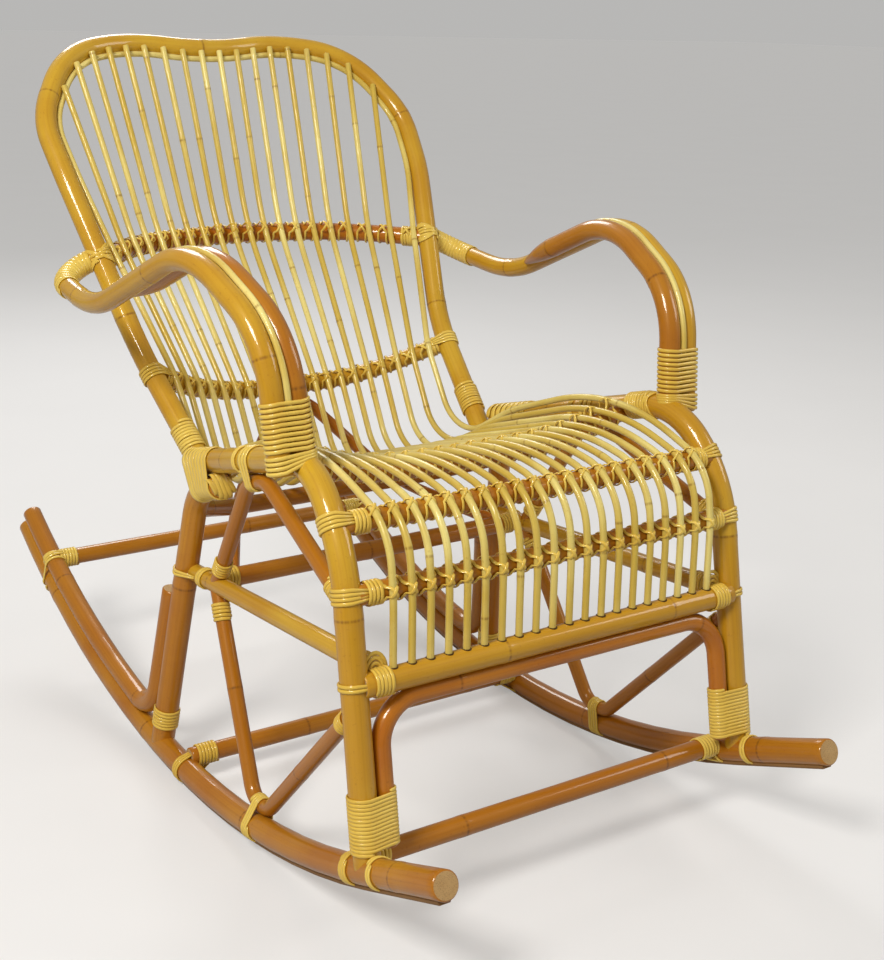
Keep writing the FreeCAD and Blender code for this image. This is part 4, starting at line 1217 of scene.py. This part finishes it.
rail_lashing = Lashing("rail_lashing_turns")
for rail, diameter, height, bands, count in (
    (upper_rail, FRONT_RAIL_DIAMETER, UPPER_RAIL_HEIGHT, 4, 4),
    (middle_rail, FRONT_RAIL_DIAMETER, MIDDLE_RAIL_HEIGHT, 4, 4),
    (lower_rail, LOWER_RAIL_DIAMETER, LOWER_RAIL_HEIGHT, 2, 5),
):
    leg_at = front_leg.mark(Z, height)
    rail_lashing.turns(rail, diameter, RAIL_LASH_START, count, 0.3)
    rail_lashing.hitch(
        front_leg, leg_at, LEG_DIAMETER, rail, RAIL_HITCH, diameter - HITCH_SINK, bands, 0.35
    )
side_lash_at = side_stretcher.length - SIDE_LASH_LENGTH
rail_lashing.turns(side_stretcher, SIDE_STRETCHER_DIAMETER, side_lash_at, 6, 0.4)
rail_lashing.end_coil(side_stretcher, SIDE_STRETCHER_DIAMETER, 4, 0.2, 4, 1.5, 4)
rail_lashing.turns(front_leg, LEG_DIAMETER, front_leg.mark(Y, -KNEE_LASH_REACH), 9, 0.3)
rail_lashing.finish(["rail_lashings"])

stretcher_lashing = Lashing("stretcher_lashing_turns")
for stretcher, carrier, reach, diameter, bands in (
    (front_stretcher, rocker, -FRONT_STRETCHER_REACH, ROCKER_DIAMETER, 2),
    (lower_stretcher, rocker, LOWER_STRETCHER_REACH, ROCKER_DIAMETER, 3),
    (rear_stretcher, heel_brace, REAR_STRETCHER_REACH, HEEL_BRACE_DIAMETER, 2),
):
    stretcher_lashing.turns(stretcher, STRETCHER_DIAMETER, diameter / 2 - STRETCHER_LASH_LAP, 6, 0.35)
    stretcher_lashing.hitch(
        carrier, carrier.mark(Y, reach), diameter,
        stretcher, diameter / 2 + STRETCHER_HITCH, STRETCHER_DIAMETER - HITCH_SINK, bands, 0.4,
    )
stretcher_lashing.turns(middle_stretcher, STRETCHER_DIAMETER, MIDDLE_LASH_START, 5, 0.3)
stretcher_lashing.finish(["stretcher_lashings"])

hoop_lashing = Lashing("hoop_lashing_turns")
hoop_lashing.turns(hoop, HOOP_DIAMETER, hoop.mark(Z, HOOP_LASH_HEIGHT), 9, 0.3)
hoop_lashing.round_two(
    front_leg, [front_leg.length - back for back in CORNER_RAIL_SPAN], LEG_DIAMETER,
    rear_leg, [rear_leg.length - back for back in CORNER_LEG_SPAN], LEG_DIAMETER, 8, 0.3, FAN_STRAND_WIDTH,
)
hoop_lashing.end_hood(rear_leg, LEG_DIAMETER, 5, 0.2, FLAT_STRAND_WIDTH)
lower_back_at = hoop.mark(Z, LOWER_BACK_HEIGHT)
hoop_lashing.hitch(hoop, lower_back_at, HOOP_DIAMETER, lower_back, BACK_HITCH, SEAT_RAIL_DIAMETER, 4, 0.3)
hoop_lashing.turns(lower_back, SEAT_RAIL_DIAMETER, BACK_LASH_START, 3, 0.3)
hoop_lashing.finish(["hoop_lashings"])

heel_lashing = Lashing("heel_lashing_turns")
heel_lashing.turns(rear_leg, LEG_DIAMETER, rear_leg.mark(Z, HEEL_LASH_HEIGHT), 6, 0.45)
heel_lashing.round_two(
    rocker, rocker.span(Y, *HEEL_ROCKER_SPAN), ROCKER_DIAMETER,
    heel_brace, heel_brace.span(Y, *HEEL_BRACE_SPAN), HEEL_BRACE_DIAMETER, 2, 0.4,
)
heel_lashing.finish(["heel_lashings"])

elbow_lashing = Lashing("elbow_lashing_turns")
elbow_lashing.turns(
    outer_arm, ARM_DIAMETER, ELBOW_START, ELBOW_TURNS, 0.25,
    FLAT_STRAND_WIDTH, ELBOW_THICKNESS, ELBOW_SPREAD,
)
arm_at = hoop.mark(Z, ARM_HEIGHT_AT_HOOP)
for lean in ELBOW_LEANS:
    elbow_lashing.slanted(hoop, arm_at, HOOP_DIAMETER, Vector((0.3, -1, 0)), lean, 0.3)
elbow_lashing.turns(hoop, HOOP_DIAMETER, arm_at - ELBOW_BAND_BACK, 3, 0.3)
elbow_lashing.turns(upper_back, BACK_RAIL_DIAMETER, BACK_LASH_START, 5, 0.35)
elbow_lashing.finish(["elbow_lashings"])


def around(line, reach, half):
    """The distances along a line on either side of a reach along Y."""
    return line.span(Y, reach - half, reach + half)


brace_lashing = Lashing("brace_lashing_turns")
brace_top_middle = -(UPPER_BRACE_REAR + UPPER_BRACE_FRONT) / 2
brace_lashing.turns(front_leg, LEG_DIAMETER, front_leg.mark(Y, brace_top_middle + BRACE_BAND_SHIFT), 2, 0.3)
brace_lashing.round_two(
    front_leg, around(front_leg, brace_top_middle, BRACE_TOP_RAIL), LEG_DIAMETER,
    upper_brace, around(upper_brace, brace_top_middle, BRACE_TOP_BRACE), BRACE_DIAMETER, 3, 0.3,
    FLAT_STRAND_WIDTH,
)
brace_low_middle = -(LOWER_BRACE_REAR + LOWER_BRACE_FRONT) / 2
brace_lashing.round_two(
    rocker, around(rocker, brace_low_middle, BRACE_LOW), ROCKER_DIAMETER,
    lower_brace, around(lower_brace, brace_low_middle, BRACE_LOW), BRACE_DIAMETER, 4, 0.35,
)
for brace in (upper_brace, lower_brace):
    brace_lashing.turns(brace, BRACE_DIAMETER, BRACE_LASH_START, 5, 0.35)
    brace_lashing.turns(brace, BRACE_DIAMETER, brace.length - BRACE_LASH_END, 4, 0.4)
side_rear_at = rear_leg.mark(Z, SIDE_STRETCHER_REAR_HEIGHT)
brace_lashing.hitch(
    rear_leg, side_rear_at, LEG_DIAMETER, side_stretcher, SIDE_HITCH, SIDE_STRETCHER_DIAMETER, 2, 0.35
)
brace_lashing.turns(side_stretcher, SIDE_STRETCHER_DIAMETER, SIDE_BAND_START, 2, 0.3, FLAT_STRAND_WIDTH)
brace_lashing.finish()

# Ties of the canes to the rails, and dark rings of painted shade where their lower ends enter holes in the
# lower rail
cane_ties = Lashing("cane_tie_strands")
tied_rails = (
    (middle_rail, FRONT_RAIL_DIAMETER, WIDE_TIE_REACH, WIDE_TIE_SWING, WIDE_TIE_WIDTH),
    (upper_rail, FRONT_RAIL_DIAMETER, TIE_REACH, TIE_SWING, TIE_WIDTH),
    (seat_rail, SEAT_RAIL_DIAMETER, TIE_REACH, TIE_SWING, TIE_WIDTH),
    (lower_back, SEAT_RAIL_DIAMETER, TIE_REACH, TIE_SWING, TIE_WIDTH),
    (upper_back, BACK_RAIL_DIAMETER, TIE_REACH, TIE_SWING, TIE_WIDTH),
)
SEARCH_STEP = 4
LONGEST_CANE = 1500
hole_shade_rings = Piece("cane_peg_holes")
for cane_line in cane_lines:
    count = int(min(cane_line.length, LONGEST_CANE) / SEARCH_STEP)
    places = [cane_line.at(SEARCH_STEP * k)[0] for k in range(count)]
    for rail, diameter, reach, swing, width in tied_rails:
        crossing = places[0]
        for _ in range(3):
            rail_place = rail.where(X, crossing.x)
            crossing = min(places, key=lambda place: (place - rail_place).length)
        rail_place, rail_way, _ = rail.at(rail.mark(X, crossing.x))
        cane_ties.cross_tie(crossing, rail_place, rail_way, diameter, reach, swing, width, 0.15)
    # A near-black ring round the cane's foot: painted shade of the hole that it enters.
    peg_place, peg_way, peg_side = cane_line.at(LOWER_RAIL_DIAMETER / 2 - 0.5)
    rim_places, rim_outward = [], []
    for across, up in circle(CANE_SIDES) + circle(CANE_SIDES)[:2]:
        out = peg_side * across + peg_way.cross(peg_side) * up
        rim_places.append(peg_place + out * (CANE_DIAMETER / 2 + 0.5))
        rim_outward.append(peg_way)
    hole_shade_rings.strand(rim_places, rim_outward, 0.5, 2.2, 1.6)
cane_ties.finish()
hole_shade_rings.add_mirror_image()
hole_shade_rings.build(PAINTED_HOLE_SHADE, "strand", [])


# Stage: floor, light and camera
FLOOR_HALF = 60
FLOOR_GLOW = 0.32
BACKDROP = 0.48


def floor_finish():
    """A matt pale floor, which the camera sees a little lighter than it lights the chair."""
    material, tree, shader = new_material("pale_floor")
    mottle = placed(tree, PATCHES)
    mottle.inputs["Scale"].default_value = 3.0
    tone = mixed(tree, mottle.outputs["Patches"], (0.52, 0.51, 0.5), (0.49, 0.48, 0.47))
    tree.links.new(tone, shader.inputs["Base Color"])
    shader.inputs["Roughness"].default_value = 0.8
    shader.inputs["Emission Color"].default_value = (1.0, 0.99, 0.97, 1)
    path = tree.nodes.new("ShaderNodeLightPath")
    seen = ranged(tree, path.outputs["Is Camera Ray"], 0.0, 1.0, 0.0, FLOOR_GLOW)
    tree.links.new(seen, shader.inputs["Emission Strength"])
    return material


def add_floor():
    mesh = bpy.data.meshes.new("studio_floor")
    ways = ((-1, -1), (1, -1), (1, 1), (-1, 1))
    mesh.from_pydata([(FLOOR_HALF * x, FLOOR_HALF * y, 0) for x, y in ways], [], [(0, 1, 2, 3)])
    mesh.materials.append(floor_finish())
    floor = add_object("studio_floor", mesh)


def add_lamp(name, place, target, size, power, colour):
    lamp = bpy.data.lights.new(name, "AREA")
    lamp.energy = power
    lamp.size = size
    lamp.color = colour
    holder = add_object(name, lamp)
    holder.location = place
    holder.rotation_euler = (Vector(target) - Vector(place)).to_track_quat("-Z", "Y").to_euler()


def add_world():
    """A pale surround, whose brightness at the horizon is that of the far floor."""
    world = bpy.data.worlds.new("studio")
    world.use_nodes = True
    tree = world.node_tree
    way = tree.nodes.new("ShaderNodeTexCoord")
    parts = tree.nodes.new("ShaderNodeSeparateXYZ")
    tree.links.new(way.outputs["Generated"], parts.inputs["Vector"])
    background = tree.nodes["Background"]
    background.inputs["Color"].default_value = (1.0, 0.99, 0.97, 1)
    light = ranged(tree, parts.outputs["Z"], 0.0, 0.5, 0.36, 0.3)
    path = tree.nodes.new("ShaderNodeLightPath")
    seen = tree.nodes.new("ShaderNodeMix")
    tree.links.new(path.outputs["Is Camera Ray"], seen.inputs["Factor"])
    tree.links.new(light, seen.inputs["A"])
    seen.inputs["B"].default_value = BACKDROP
    tree.links.new(seen.outputs["Result"], background.inputs["Strength"])
    bpy.context.scene.world = world


add_floor()
add_lamp("window_lamp", (-2.2, -1.2, 2.6), (0, 0, 0.45), 0.9, 86, (1.0, 0.98, 0.95))
add_lamp("room_lamp", (2.4, -1.6, 2.0), (0, 0, 0.4), 1.2, 24, (1.0, 0.97, 0.93))
add_lamp("back_lamp", (0.6, 2.6, 2.4), (0, 0.2, 0.5), 1.2, 36, (1.0, 1.0, 1.0))
add_world()
bpy.context.scene.view_settings.view_transform = "Standard"

PICTURE_WIDTH = 884
FOCAL_PIXELS = 1525
SENSOR = 36
CAMERA_PLACE = Vector((-967.0, -1539.9, 851.9))
CAMERA_AZIMUTH = math.radians(34.109)
CAMERA_ELEVATION = math.radians(14.881)


def add_camera():
    """The photograph's camera, level beside the level chair, and turned back with it."""
    data = bpy.data.cameras.new("photo_camera")
    data.sensor_fit = "HORIZONTAL"
    data.sensor_width = SENSOR
    data.lens = FOCAL_PIXELS / PICTURE_WIDTH * SENSOR
    camera = add_object("photo_camera", data)
    turn = Matrix.Rotation(-LEAN, 4, "X") @ Matrix.Rotation(-CAMERA_AZIMUTH, 4, "Z")
    tilt = Matrix.Rotation(math.pi / 2 - CAMERA_ELEVATION, 4, "X")
    camera.matrix_world = Matrix.Translation(at_rest(CAMERA_PLACE)) @ turn @ tilt
    bpy.context.scene.camera = camera


add_camera()
